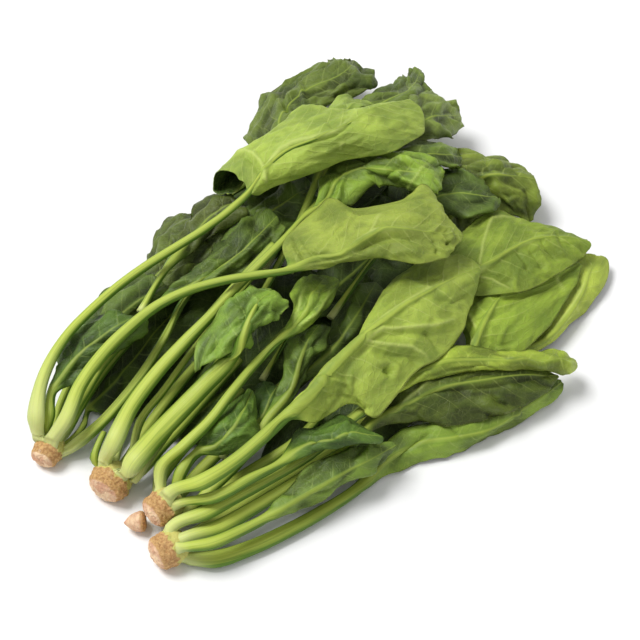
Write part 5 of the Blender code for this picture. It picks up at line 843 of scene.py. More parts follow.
# ---------------------------------------------------------------- noise
def noise2(x, y, seed):
    """Seeded gradient noise in the plane, about -1 to 1."""
    angle = np.random.default_rng(seed).uniform(0, 2 * np.pi, (64, 64))
    x, y = np.broadcast_arrays(x, y)
    xi, yi = np.floor(x).astype(int), np.floor(y).astype(int)
    xf, yf = x - xi, y - yi
    u, v = xf * xf * xf * (xf * (xf * 6 - 15) + 10), yf * yf * yf * (yf * (yf * 6 - 15) + 10)

    def corner(i, j):
        a = angle[(xi + i) % 64, (yi + j) % 64]
        return np.cos(a) * (xf - i) + np.sin(a) * (yf - j)

    low = corner(0, 0) * (1 - u) + corner(1, 0) * u
    high = corner(0, 1) * (1 - u) + corner(1, 1) * u
    return 1.5 * (low * (1 - v) + high * v)


def rough_noise(x, y, seed, octaves=3):
    total = 0.0
    for k in range(octaves):
        total = total + noise2(x * 2**k + 17.3 * k, y * 2**k - 9.1 * k, seed + 31 * k) / 2**k
    return total


def crease(x, y, seed):
    """Thin branching ridges, nought to one."""
    return (1 - np.clip(np.abs(noise2(x, y, seed)) * 2.6, 0, 1)) ** 1.6


def smooth_step(x, low, high):
    t = np.clip((x - low) / (high - low), 0, 1)
    return t * t * (3 - 2 * t)


def layout_of(points):
    """Layout place of points, the reverse of at()."""
    rel = points - EYE
    depth = -(rel @ BACK)
    u = ((rel @ RIGHT) / depth / LAYOUT_SPREAD + 0.5) * LAYOUT_SIZE
    v = (0.5 - (rel @ UPWARD) / depth / LAYOUT_SPREAD) * LAYOUT_SIZE
    return u, v


def from_line(u, v, line):
    """Distance from layout places to a polyline, and how far along it the nearest place is."""
    best = np.full(u.shape, 1e9)
    place = np.zeros(u.shape)
    line = np.array(line, float)
    lengths = np.linalg.norm(np.diff(line, axis=0), axis=1)
    total, run = lengths.sum(), 0.0
    for p, q, length in zip(line, line[1:], lengths):
        t = np.clip(((u - p[0]) * (q[0] - p[0]) + (v - p[1]) * (q[1] - p[1])) / length**2, 0, 1)
        d = np.hypot(u - p[0] - t * (q[0] - p[0]), v - p[1] - t * (q[1] - p[1]))
        closer = d < best
        best = np.where(closer, d, best)
        place = np.where(closer, (run + t * length) / total, place)
        run += length
    return best, place


# ---------------------------------------------------------------- fine leaf surface
def blur(field, passes):
    for _ in range(passes):
        p = np.pad(field, 1, mode="edge")
        field = (p[:-2, 1:-1] + 2 * p[1:-1, 1:-1] + p[2:, 1:-1]) / 4
        p = np.pad(field, 1, mode="edge")
        field = (p[1:-1, :-2] + 2 * p[1:-1, 1:-1] + p[1:-1, 2:]) / 4
    return field


def grown(field, passes):
    for _ in range(passes):
        p = np.pad(field, 1, mode="edge")
        field = np.maximum.reduce([field, p[:-2, 1:-1], p[2:, 1:-1], p[1:-1, :-2], p[1:-1, 2:]])
    return field


def open_parts(leaf, rows, thicks, share, seed):
    """A leaf whose blade curls into an open tube: the stalk runs along the rolled
    sheet as its midrib, and the sheet's first edge stays free."""
    look = LOOKS[leaf[0]]
    stalks = int((share == 0).sum())
    column = look["open"][0]
    extra, sizes = [], []
    for k, (wide, thick) in enumerate(look["open"][1]):
        row = rows[stalks + k]
        across = unit(row[min(column + 1, len(row) - 1)] - row[column - 1])
        reach = np.linspace(-0.5, 0.5, rows.shape[1])[:, None] * wide
        extra.append(row[column] + reach * across)
        sizes.append(thick)
    stem = np.concatenate([rows[:stalks], np.array(extra)])
    stem_t = np.concatenate([thicks[:stalks], sizes])
    tube = fine_leaf(leaf, stem, stem_t, np.zeros(len(stem)), seed)
    flat = (leaf[0], leaf[1], None) + leaf[3:]
    sheet = fine_leaf(flat, rows[stalks:], thicks[stalks:], share[stalks:], seed + 50, column / (rows.shape[1] - 1))
    return [tube, sheet]


def fine_leaf(leaf, rows, thicks, share, seed, middle_at=0.5):
    """Fine surface of a leaf. Returns a dict of grids: top, bottom, and what the
    finish needs at every point."""
    look = {**PLAIN, **LOOKS.get(leaf[0], {})}
    plant, base = leaf[1], leaf[2]
    stalks = int((share == 0).sum())
    has_blade = share.max() > 0
    no_stalk = stalks == 0
    rooted = bool(base) or leaf[0] in REACHING
    if rooted:  # the stalk widens at its foot, which runs a little way into the crown
        centre, heading, side = plant_frame(plant)
        rows, thicks = rows.copy(), np.array(thicks, float)
        first = rows[0].mean(0)
        if base:
            rows[0] = first + (rows[0] - first) * (1.38 if np.linalg.norm(rows[0][0] - rows[0][-1]) < 6.4 else 1.12)
            second = rows[1].mean(0)
            rows[1] = second + (rows[1] - second) * 1.1
            thicks[0] *= 1.12
            foot = rows[0] + (centre - first) * 0.45 - heading * 1.2
            foot = foot.mean(0) + (foot - foot.mean(0)) * 1.2
        else:
            wide = 0.62 * PLANTS[plant][2][2]
            goal = centre + heading * PLANTS[plant][2][1] * 0.7 + side * np.clip((first - centre) @ side * 0.5, -wide, wide)
            goal[2] = max(first[2], 3.4)
            foot = rows[0] - first + goal
        rows = np.concatenate([foot[None], rows])
        thicks = np.concatenate([[thicks[0]], thicks])
        share = np.concatenate([[0.0], share])
        stalks += 1
    middle = rows[:, rows.shape[1] // 2]
    chord = np.maximum(np.linalg.norm(np.diff(middle, axis=0), axis=1), 2.0)
    t = np.concatenate([[0.0], np.cumsum(chord)])
    cell = look["cell"] * COARSER
    marks_along = []
    for i in range(len(rows) - 1):
        step = 2.2 if share[i + 1] == 0 else cell
        n = max(2, int(round(chord[i] / step)))
        marks_along += [i + k / n for k in range(n)]
    along = np.array(marks_along + [len(rows) - 1.0])
    q = np.interp(along, np.arange(len(rows)), t)
    # columns sit closer together near the midrib
    widest = max(np.linalg.norm(np.diff(r, axis=0), axis=1).sum() for r in rows)
    columns = int(np.clip(round(widest / cell / 2) * 2 + 1, 15, 121))
    x = np.linspace(-1, 1, columns)
    spread = np.sign(x) * (0.45 * np.abs(x) + 0.55 * np.abs(x) ** 1.7)
    across = np.where(spread < 0, middle_at * (1 + spread), middle_at + (1 - middle_at) * spread)
    skin = spline(t, rows, q)
    places = np.arange(rows.shape[1]) / (rows.shape[1] - 1)
    b = np.interp(along, np.arange(len(rows)), share)
    b = (b * b * (3 - 2 * b))[:, None]
    column = np.repeat(across[None, :], len(along), axis=0)
    if has_blade:  # rounded tip
        left = np.clip((along - (len(rows) - 1.55)) / 0.55, 0, 1)[:, None]
        column = middle_at + (column - middle_at) * np.sqrt(np.maximum(1 - left**2 * 0.93, 0.02))
    full = np.moveaxis(spline(places, np.moveaxis(skin, 1, 0), np.linspace(0, 1, 241)), 0, 1)
    index = column * 240
    k = np.clip(index.astype(int), 0, 239)
    f = (index - k)[..., None]
    line = np.arange(len(along))[:, None]
    skin = full[line, k] * (1 - f) + full[line, k + 1] * f

    steps = np.linalg.norm(np.diff(skin, axis=1), axis=2)
    arc = np.concatenate([np.zeros((len(along), 1)), np.cumsum(steps, axis=1)], axis=1)
    d = arc - arc[:, columns // 2][:, None]  # signed distance from the midrib
    half_width = np.maximum(np.where(d < 0, -arc[:, :1] + arc[:, columns // 2][:, None], arc[:, -1:] - arc[:, columns // 2][:, None]), 0.5)
    half_width = np.where(d < 0, arc[:, columns // 2][:, None], arc[:, -1:] - arc[:, columns // 2][:, None])
    half_width = np.maximum(half_width, 0.5)
    e = np.clip(np.abs(d) / half_width, 0, 1)
    blade_from = np.interp(max(stalks - 1, 0), np.arange(len(rows)), t) if has_blade else q[-1]
    s = (q - blade_from)[:, None] + 0 * d

    run = np.gradient(skin, axis=0)
    sideways = -np.gradient(skin, axis=1)
    normal = unit(np.cross(run, sideways))
    if rooted:
        normal[:2] = [0.0, 0.0, 1.0]
    outward = unit(np.where(d[..., None] < 0, sideways, -sideways))

    # ragged, gently lobed margin
    lobes = 1.3 * noise2(s / 16.0, np.sign(d) * 3.3, seed + 5) + 0.3 * noise2(s / 6.0, np.sign(d) * 7.7, seed + 6)
    skin = skin + outward * (b * e**5 * look["ragged"] * lobes * min(1.0, widest / 30))[..., None]
    if no_stalk:  # wavy free edge at the tube's mouth
        wave = 1.3 * noise2(d / 9.0, 3.3 + 0 * d, seed + 12) + 0.6 * noise2(d / 3.5, 8.1 + 0 * d, seed + 13)
        skin = skin + unit(run) * (wave * np.exp(-s / 4.0))[..., None]
    u, v = layout_of(skin)
    for kind, depth, width, path in look["marks"]:
        if kind == "bite":
            off, _ = from_line(u, v, path)
            skin = skin - outward * (b * e**3 * depth * np.exp(-((off / width) ** 2)))[..., None]

    # folds, swelling between veins, ruffled margin
    slant, gap = look["slant"], look["vein"]
    sway = 2.2 * noise2(s / 26.0, d / 18.0, seed + 1)
    phase = (s + sway - slant * np.abs(d) - 0.008 * d * d) / gap + 0.5 * (d < 0)
    p = np.abs(2 * (phase - np.floor(phase)) - 1)  # one on a vein, nought halfway between two
    near_rib = np.exp(-((d / 3.0) ** 2))
    up = 1.0 if look["side"] == "upper" else -1.0
    quilt = up * look["quilt"] * ((1 - p**2) - 0.5) * (1 - near_rib) * np.minimum(1, (1 - e) * 4 + 0.25)
    size = look["fold"] * (1.7 if look["side"] == "upper" else 1.0)
    folds = look["wrinkle"] * (0.85 * noise2(s / (2.4 * size), d / size, seed + 2)
                               + 0.6 * (0.5 - np.abs(noise2(s / (1.9 * size) + 5, d / (0.85 * size), seed + 3)) * 1.6)
                               + 0.05 * noise2(s / 6.5, d / 4.4, seed + 7))
    ruffle = look["ruffle"] * e**2.4 * (noise2(s / 13.0, np.sign(d) * 5.0 + e * 0.6, seed + 4) + 0.3 * noise2(s / 6.0, np.sign(d) * 4.0 + e * 0.6, seed + 35))
    crinkle = 0.08 * noise2(s / 2.1, d / 2.1, seed + 8) + 0.04 * noise2(s / 1.1, d / 1.1, seed + 9)
    crush = look["crush"] * (1.3 * crease(s / 26.0, d / 15.0, seed + 21) - 1.3 * crease(s / 22.0, d / 13.0, seed + 22)
                             + 0.08 * crease(s / 6.5, d / 4.5, seed + 23) - 0.08 * crease(s / 6.0, d / 4.2, seed + 24))
    lift = b * (quilt + (1 - 0.8 * near_rib) * (folds + crush) + ruffle + crinkle)

    # marks drawn on the layout: ridges, valleys and veins
    u, v = layout_of(skin)
    vein_mark = np.zeros_like(d)
    for kind, height, width, path in look["marks"]:
        if kind == "bite":
            continue
        off, place = from_line(u, v, path)
        taper = np.clip(np.minimum(place, 1 - place) * 5 + 0.25, 0, 1)
        bell = np.exp(-((off / width) ** 2)) * taper
        if kind == "vein":
            lift = lift + b * height * np.exp(-((off / (width * 1.6)) ** 2)) * np.clip((1 - place) * 3, 0, 1)
            vein_mark = np.maximum(vein_mark, np.exp(-((off / width) ** 2)) * np.clip((1 - place) * 3, 0, 1))
        else:
            lift = lift + b * height * bell
    skin = skin + normal * lift[..., None]
    # fold heights kept as a mask for painted shade in the hollows and a painted highlight on the crests
    reliefs = (folds + crush) / max(look["wrinkle"], 1.0)
    relief = np.clip(0.5 + 0.75 * (reliefs - reliefs.mean()), 0, 1)

    # thickness: round stalk, thin blade, midrib that tapers to the tip
    stalk_t = np.interp(along, np.arange(len(rows)), thicks)[:, None]
    last_t = 0.5 if no_stalk else thicks[share == 0][-1]
    stalk_t = np.where(b > 0, last_t, stalk_t)
    last_w = 3.0 if no_stalk else np.linalg.norm(rows[stalks - 1][0] - rows[stalks - 1][-1])
    part_way = np.clip((along - (stalks - 1)) / max(1, len(rows) - stalks), 0, 1)[:, None]
    rib_t = last_t * 0.8 * (1 - part_way) ** 1.3 + 0.25
    rib_w = (last_w * 0.34) * (1 - part_way) ** 0.8 + 0.35
    bell = np.exp(-((d / rib_w) ** 2)) * rib_t * look["rib"]
    ridge = np.exp(-(((1 - p) * gap / 2 / 0.55) ** 2)) * 0.32 * (1 - e) ** 0.5 * (1 - near_rib)
    seen, hidden = (0.35, 0.75) if look["side"] == "upper" else (0.8, 0.3)
    groove = 1 - look["groove"] * np.exp(-(((column - 0.5) / 0.15) ** 2))
    ribs = 1 + 0.02 * np.cos(2 * np.pi * 3.5 * column) + 0.07 * noise2(q[:, None] / 14, column * 4, seed + 11)
    round_t = stalk_t / 2 * np.sin(np.pi * column)
    thin = 0.23 * np.minimum(1, 8 * (1 - e) + 0.15)
    thin[:, 0] = thin[:, -1] = 0.0
    fade_edge = np.minimum(1, 6 * (1 - e))
    top_h = (1 - b) * round_t * groove * ribs + b * (thin + bell * seen * fade_edge + (ridge * 0.4 * up * -1 if up < 0 else -0.2 * ridge) * fade_edge)
    low_h = (1 - b) * round_t * ribs + b * (thin + bell * hidden * fade_edge)
    top_h[:, 0] = top_h[:, -1] = 0.0
    low_h[:, 0] = low_h[:, -1] = 0.0
    run = np.gradient(skin, axis=0)
    sideways = -np.gradient(skin, axis=1)
    normal = unit(np.cross(run, sideways))
    if rooted:
        normal[:2] = [0.0, 0.0, 1.0]
    top = skin + normal * top_h[..., None]
    bottom = skin - normal * low_h[..., None]
    rib = np.maximum(np.exp(-((d / (rib_w * 1.15)) ** 2)) * (1 - 0.35 * part_way), 1 - b * 1.0)
    if has_blade:
        rib = np.maximum(rib, 0) * np.ones_like(d)
    # mask for a painted highlight along the stalk's top and along the midrib
    crest = (1 - b) * np.sin(np.pi * column) ** 1.5 + b * np.exp(-((d / (rib_w * 0.7)) ** 2))
    return dict(top=top, bottom=bottom, s=s, d=d, e=e, b=b + 0 * d, phase=phase, crest=crest, relief=relief, rib=rib + 0 * d, vein=vein_mark,
                run=(q / max(blade_from, 1.0))[:, None] + 0 * d, look=look, base=rooted,
                free=smooth_step(q, 5.0, 14.0)[:, None] if rooted else np.ones((len(q), 1)))


def drape(fine, floor, cell):
    """Raise the fine surface softly wherever it would sink into what is under it."""
    top, bottom, b = fine["top"], fine["bottom"], fine["b"]
    total = np.zeros(b.shape)
    rise = sightline((top + bottom) / 2)
    if fine["base"]:
        rise[:3] = [0.0, 0.0, 1.0]
    passes = int(np.clip(round(2.4 / cell), 2, 5))
    for turn in range(9):
        need = np.full(b.shape, -9.0)
        for side in (top, bottom):
            placed = side + rise * total[..., None]
            ix, iy = cells(placed.reshape(-1, 3))
            ground = floor[ix, iy].reshape(b.shape)
            need = np.maximum(need, np.where(ground > 0, ground + 0.2, 0.05) - placed[..., 2])
        need = np.maximum(need, 0)
        need = need * fine["free"]
        if need.max() < 0.02:
            break
        stiff = np.maximum(need.max(axis=1, keepdims=True), 0) * np.ones_like(b)
        need = np.where(b < 0.5, stiff, need)
        total += blur(grown(need, passes), passes * 2)
    return top + rise * total[..., None], bottom + rise * total[..., None]


def closed_grid(top, bottom):
    """One closed mesh from two grids that share their outer columns."""
    rows, columns = top.shape[:2]
    rings = np.concatenate([top, bottom[:, -2:0:-1]], axis=1)
    around = rings.shape[1]
    i = np.arange(rows - 1)[:, None] * around
    m = np.arange(around)[None, :]
    n = (m + 1) % around
    quads = np.stack([i + m, i + n, i + around + n, i + around + m], axis=-1).reshape(-1, 4)
    last = (rows - 1) * around
    k = np.arange(1, columns - 2)
    near = np.stack([k, around - k, around - k - 1, k + 1], axis=1)
    far = last + near[:, ::-1]
    c = columns - 1
    ends = np.array([[0, around - 1, 1], [c - 1, c + 1, c], [last, last + 1, last + around - 1], [last + c - 1, last + c, last + c + 1]])
    return rings.reshape(-1, 3), np.concatenate([quads, near, far]), ends


def ring_values(grid, under=None):
    """A grid's values in the vertex order of closed_grid."""
    other = grid if under is None else under
    return np.concatenate([grid, other[:, -2:0:-1]], axis=1).reshape(-1)


def mesh_of(name, vertices, quads, ends, values, maps):
    """Mesh in metres from quads and triangles, with float attributes and UV maps."""
    mesh = bpy.data.meshes.new(name)
    loops = np.concatenate([quads.reshape(-1), ends.reshape(-1)]).astype(np.int32)
    sizes = np.concatenate([np.full(len(quads), 4), np.full(len(ends), 3)])
    starts = np.concatenate([[0], np.cumsum(sizes)[:-1]]).astype(np.int32)
    mesh.vertices.add(len(vertices))
    mesh.vertices.foreach_set("co", (vertices / 1000).astype(np.float32).reshape(-1))
    mesh.loops.add(len(loops))
    mesh.loops.foreach_set("vertex_index", loops)
    mesh.polygons.add(len(sizes))
    mesh.polygons.foreach_set("loop_start", starts)
    mesh.update(calc_edges=True)
    mesh.validate()
    for key, value in values.items():
        layer = mesh.attributes.new(key, "FLOAT", "POINT")
        layer.data.foreach_set("value", value.astype(np.float32))
    for key, (x, y) in maps.items():
        layer = mesh.uv_layers.new(name=key)
        pairs = np.stack([x[loops], y[loops]], axis=1).astype(np.float32)
        layer.data.foreach_set("uv", pairs.reshape(-1))
    mesh.polygons.foreach_set("use_smooth", np.ones(len(sizes), dtype=bool))
    mesh.update()
    return mesh


# ---------------------------------------------------------------- finishes
class Finish:
    """Small helper that adds shader nodes and joins them."""

    def __init__(self, name):
        self.material = bpy.data.materials.new(name)
        self.material.use_nodes = True
        self.tree = self.material.node_tree
        self.shader = self.tree.nodes["Principled BSDF"]

    def put(self, socket, value):
        if isinstance(value, bpy.types.NodeSocket):
            self.tree.links.new(value, socket)
        elif isinstance(value, (tuple, list)) and len(value) == 3 and socket.type == "RGBA":
            socket.default_value = (*value, 1.0)
        else:
            socket.default_value = value

    def math(self, op, a, b=0.0, c=0.0, clamp=False):
        node = self.tree.nodes.new("ShaderNodeMath")
        node.operation, node.use_clamp = op, clamp
        for socket, value in zip(node.inputs, (a, b, c)):
            self.put(socket, value)
        return node.outputs[0]

    def span(self, value, low, high, to_low=0.0, to_high=1.0, smooth=True):
        node = self.tree.nodes.new("ShaderNodeMapRange")
        node.interpolation_type = "SMOOTHSTEP" if smooth else "LINEAR"
        for key, v in zip(("Value", "From Min", "From Max", "To Min", "To Max"), (value, low, high, to_low, to_high)):
            self.put(node.inputs[key], v)
        return node.outputs["Result"]

    def mix(self, amount, a, b, blend="MIX"):
        node = self.tree.nodes.new("ShaderNodeMix")
        node.data_type, node.blend_type = "RGBA", blend
        self.put(node.inputs[0], amount)
        self.put(node.inputs[6], a)
        self.put(node.inputs[7], b)
        return node.outputs[2]

    def value(self, name):
        node = self.tree.nodes.new("ShaderNodeAttribute")
        node.attribute_name = name
        return node.outputs["Fac"]

    def place(self, name):
        node = self.tree.nodes.new("ShaderNodeUVMap")
        node.uv_map = name
        return node.outputs[0]

    def solid_place(self):
        return self.tree.nodes.new("ShaderNodeTexCoord").outputs["Object"]

    def moved(self, vector, scale=(1, 1, 1), offset=(0, 0, 0)):
        node = self.tree.nodes.new("ShaderNodeMapping")
        self.put(node.inputs["Vector"], vector)
        node.inputs["Scale"].default_value = scale
        node.inputs["Location"].default_value = offset
        return node.outputs[0]

    def split(self, vector):
        node = self.tree.nodes.new("ShaderNodeSeparateXYZ")
        self.put(node.inputs[0], vector)
        return node.outputs

    def noise(self, vector, scale, detail=2.0, rough=0.5, distort=0.0):
        node = self.tree.nodes.new("ShaderNodeTexNoise")
        self.put(node.inputs["Vector"], vector)
        for key, v in (("Scale", scale), ("Detail", detail), ("Roughness", rough), ("Distortion", distort)):
            node.inputs[key].default_value = v
        return node.outputs["Fac"]

    def cracks(self, vector, scale, kind="DISTANCE_TO_EDGE"):
        node = self.tree.nodes.new("ShaderNodeTexVoronoi")
        node.feature = kind
        self.put(node.inputs["Vector"], vector)
        node.inputs["Scale"].default_value = scale
        return node.outputs["Distance"]

    def add(self, a, b, scale=1.0):
        node = self.tree.nodes.new("ShaderNodeVectorMath")
        node.operation = "MULTIPLY_ADD"
        self.put(node.inputs[0], b)
        node.inputs[1].default_value = (scale, scale, scale)
        self.put(node.inputs[2], a)
        return node.outputs[0]

    def bump(self, height, distance, strength=1.0):
        node = self.tree.nodes.new("ShaderNodeBump")
        node.inputs["Strength"].default_value = strength
        node.inputs["Distance"].default_value = distance
        self.put(node.inputs["Height"], height)
        self.put(self.shader.inputs["Normal"], node.outputs[0])


def shade(colour, factor, towards=None, amount=0.0):
    c = np.array(colour, float) * factor
    if towards is not None:
        c = c * (1 - amount) + np.array(towards, float) * amount
    return tuple(float(x) for x in np.clip(c, 0, 255))


def leaf_finish(name, look, seed):
    f = Finish(f"finish_{name}")
    mm = f.place("spread")  # centimetres along and across the leaf
    wob = f.noise(f.moved(mm, offset=(seed * 1.7, seed * 0.6, 0)), 1.3, 2.0)
    x, y, _ = f.split(f.place("veins"))
    tint = look["tint"]
    if look["side"] == "upper":
        upper, under = shade(tint, 0.9), shade(tint, 1.2, (150, 168, 90), 0.35)
    else:
        # a rolled blade's inner face: its darker upper side, with painted shade for the hollow of the tube
        upper, under = look["inside_with_shade"] or shade(tint, 0.66, (70, 105, 40), 0.4), tint
    side = f.value("under")
    broad = f.noise(f.moved(mm, offset=(seed, seed * 2.3, 0)), 0.55, 3.0, 0.55)
    mottle = f.noise(f.moved(mm, offset=(seed * 3.1, 4.0, 0)), 4.5, 4.0, 0.65)

    def toned(colour, spread):
        dark = daylight(shade(colour, 1 - spread, (60, 95, 30), 0.18))
        light = daylight(shade(colour, 1 + spread * 0.7, (190, 200, 95), 0.14))
        return f.mix(f.span(broad, 0.32, 0.68), dark, light)

    face = f.mix(side, toned(upper, 0.2), toned(under, 0.13))
    face = f.mix(f.span(mottle, 0.35, 0.75, 0.0, 0.35), face, f.mix(side, daylight(shade(upper, 0.74)), daylight(shade(under, 0.86))))
    # folds: painted shade in the hollows and a painted highlight along the crests, following the folds' heights
    relief = f.value("relief")
    hollow_shade_factor, crest_highlight_factor = (0.62, 1.2) if look["side"] == "upper" else (0.84, 1.06)
    painted_hollow_shade = f.mix(side, daylight(shade(upper, hollow_shade_factor)), daylight(shade(under, 0.84)))
    painted_crest_highlight = f.mix(side, daylight(shade(upper, crest_highlight_factor, (150, 168, 74), 0.16)), daylight(shade(under, 1.05)))
    face = f.mix(f.span(relief, 0.5, 0.1, 0.0, 0.65), face, painted_hollow_shade)
    face = f.mix(f.span(relief, 0.55, 0.95, 0.0, 0.55), face, painted_crest_highlight)
    # side veins, thinner towards the margin
    edge = f.value("edge")
    part = f.math("ABSOLUTE", f.math("SUBTRACT", f.math("MULTIPLY", f.math("FRACT", x), 2.0), 1.0))
    away = f.math("MULTIPLY", f.math("SUBTRACT", 1.0, part), look["vein"] / 2)
    width = f.span(edge, 0.0, 1.0, 0.62, 0.16, False)
    vein = f.math("SUBTRACT", 1.0, f.span(f.math("DIVIDE", away, width), 0.25, 1.25))
    vein = f.math("MULTIPLY", vein, f.span(edge, 0.02, 0.98, 0.75, 0.1, False))
    vein = f.math("MAXIMUM", vein, f.value("vein"), clamp=True)
    # net of fine veins
    bent = f.add(mm, f.tree_noise_vector(mm, 3.0), 0.16)
    net = f.math("SUBTRACT", 1.0, f.span(f.cracks(bent, 2.4), 0.0, 0.085))
    fine_net = f.math("SUBTRACT", 1.0, f.span(f.cracks(bent, 7.0), 0.0, 0.16))
    pale = daylight(shade(tint, 1.0, (206, 216, 132), 0.62 if look["side"] == "under" else 0.5))
    colour = f.mix(f.math("MULTIPLY", net, 0.09), face, pale)
    colour = f.mix(f.math("MULTIPLY", fine_net, 0.05), colour, pale)
    colour = f.mix(f.math("MAXIMUM", f.math("MULTIPLY", vein, 0.5), f.math("MULTIPLY", f.value("vein"), 0.72)), colour, pale)
    colour = f.mix(f.span(edge, 0.93, 1.0, 0.0, 0.3), colour, daylight(shade(tint, 0.95, (190, 190, 90), 0.4)))
    # stalk and midrib: a painted highlight along the top, painted shade on the sides and the lower face, with streaks
    # and fibres of their own
    streak = f.noise(f.moved(mm, scale=(0.12, 5.5, 1), offset=(0, seed, 0)), 2.2, 3.0, 0.6)
    along = f.value("run")
    fibre = f.noise(f.moved(mm, scale=(0.1, 16.0, 1), offset=(seed, seed, 0)), 2.2, 2.0, 0.6)
    crest = f.math("ADD", f.span(f.value("crest"), 0.2, 1.0, 0.0, 1.0, False), f.math("MULTIPLY", f.math("SUBTRACT", streak, 0.5), 1.5))
    crest = f.math("ADD", crest, f.math("MULTIPLY", f.math("SUBTRACT", fibre, 0.5), 0.7), clamp=True)
    low = f.mix(crest, daylight(STALK_GREEN_IN_SHADE), daylight(STALK_HIGHLIGHT))
    high = f.mix(crest, daylight(shade(STALK_GREEN_IN_SHADE, 0.9)), daylight(shade(STALK_HIGHLIGHT, 0.94, STALK_GREEN_IN_SHADE, 0.15)))
    stalk = f.mix(f.span(along, 0.1, 0.85), low, high)
    stalk = f.mix(f.span(along, 0.0, 0.24, 0.7, 0.0), stalk, daylight((222, 225, 156)))
    # painted shade: the stalk's lower face is darker green
    stalk = f.mix(f.math("MULTIPLY", side, 0.35) if look["side"] == "upper" else f.span(side, 0.0, 1.0, 0.3, 0.0), stalk, daylight(shade(STALK_GREEN_IN_SHADE, 0.72)))
    stalk = f.mix(f.math("MULTIPLY", f.value("blade"), 0.4), stalk, face)
    colour = f.mix(f.span(f.value("rib"), 0.25, 0.85), colour, stalk)
    f.put(f.shader.inputs["Base Color"], colour)
    rough = f.span(mottle, 0.2, 0.8, 0.42, 0.6)
    f.put(f.shader.inputs["Roughness"], f.mix_value(side, rough, f.math("ADD", rough, 0.12)))
    f.shader.inputs["Specular IOR Level"].default_value = 0.34
    f.shader.inputs["Subsurface Weight"].default_value = 0.12
    f.shader.inputs["Subsurface Radius"].default_value = (0.6, 1.0, 0.25)
    f.shader.inputs["Subsurface Scale"].default_value = 0.0012
    grain = f.noise(mm, 26.0, 3.0, 0.6)
    height = f.math("MULTIPLY", f.math("ADD", f.math("MULTIPLY", net, 0.55), f.math("MULTIPLY", fine_net, 0.22)), 1.0 if look["side"] == "under" else -1.0)
    height = f.math("ADD", height, f.math("MULTIPLY", grain, 0.35))
    height = f.math("ADD", height, f.math("MULTIPLY", vein, 0.6))
    height = f.mix_value(f.value("rib"), height, f.math("MULTIPLY", streak, 0.8))
    f.bump(height, 0.00028, 0.8)
    return f.material


def tree_noise_vector(self, vector, scale):
    node = self.tree.nodes.new("ShaderNodeTexNoise")
    self.put(node.inputs["Vector"], vector)
    node.inputs["Scale"].default_value = scale
    return node.outputs["Color"]


def mix_value(self, amount, a, b):
    node = self.tree.nodes.new("ShaderNodeMix")
    node.data_type = "FLOAT"
    self.put(node.inputs[0], amount)
    self.put(node.inputs[2], a)
    self.put(node.inputs[3], b)
    return node.outputs[0]


Finish.tree_noise_vector = tree_noise_vector
Finish.mix_value = mix_value


def crown_finish(name, seed):
    f = Finish(f"finish_{name}")
    place = f.solid_place()
    lumps = f.noise(f.moved(place, offset=(seed, 0, 0)), 220.0, 4.0, 0.6)
    fine = f.noise(f.moved(place, offset=(0, seed, 0)), 800.0, 4.0, 0.65)
    scars = f.cracks(f.add(place, f.tree_noise_vector(place, 300.0), 0.003), 300.0)
    flesh = f.mix(f.span(lumps, 0.35, 0.66), daylight((208, 160, 128)), daylight((240, 208, 170)))
    bark = f.mix(f.span(fine, 0.3, 0.7), daylight((168, 122, 74)), daylight((218, 178, 120)))
    crack = f.math("SUBTRACT", 1.0, f.span(scars, 0.0, 0.1))
    colour = f.mix(f.span(f.math("ADD", f.value("bark"), f.math("MULTIPLY", f.math("SUBTRACT", fine, 0.5), 1.1)), 0.35, 0.85), flesh, bark)
    colour = f.mix(f.math("MULTIPLY", crack, 0.14), colour, daylight((136, 92, 54)))
    colour = f.mix(f.span(lumps, 0.62, 0.78, 0.0, 0.5), colour, daylight((238, 214, 184)))
    colour = f.mix(f.span(f.value("green"), 0.3, 0.85), colour, f.mix(fine, daylight((190, 184, 84)), daylight((226, 220, 140))))
    f.put(f.shader.inputs["Base Color"], colour)
    f.put(f.shader.inputs["Roughness"], f.span(fine, 0.2, 0.8, 0.62, 0.85))
    f.shader.inputs["Specular IOR Level"].default_value = 0.3
    f.shader.inputs["Subsurface Weight"].default_value = 0.1
    f.shader.inputs["Subsurface Radius"].default_value = (1.0, 0.6, 0.4)
    f.shader.inputs["Subsurface Scale"].default_value = 0.001
    height = f.math("ADD", f.math("MULTIPLY", fine, 1.3), f.math("MULTIPLY", crack, -0.2))
    f.bump(height, 0.0005, 0.8)
    return f.material


# ---------------------------------------------------------------- fine crowns
COLLAR = 6.5  # how far a crown's heart runs on among its stalks


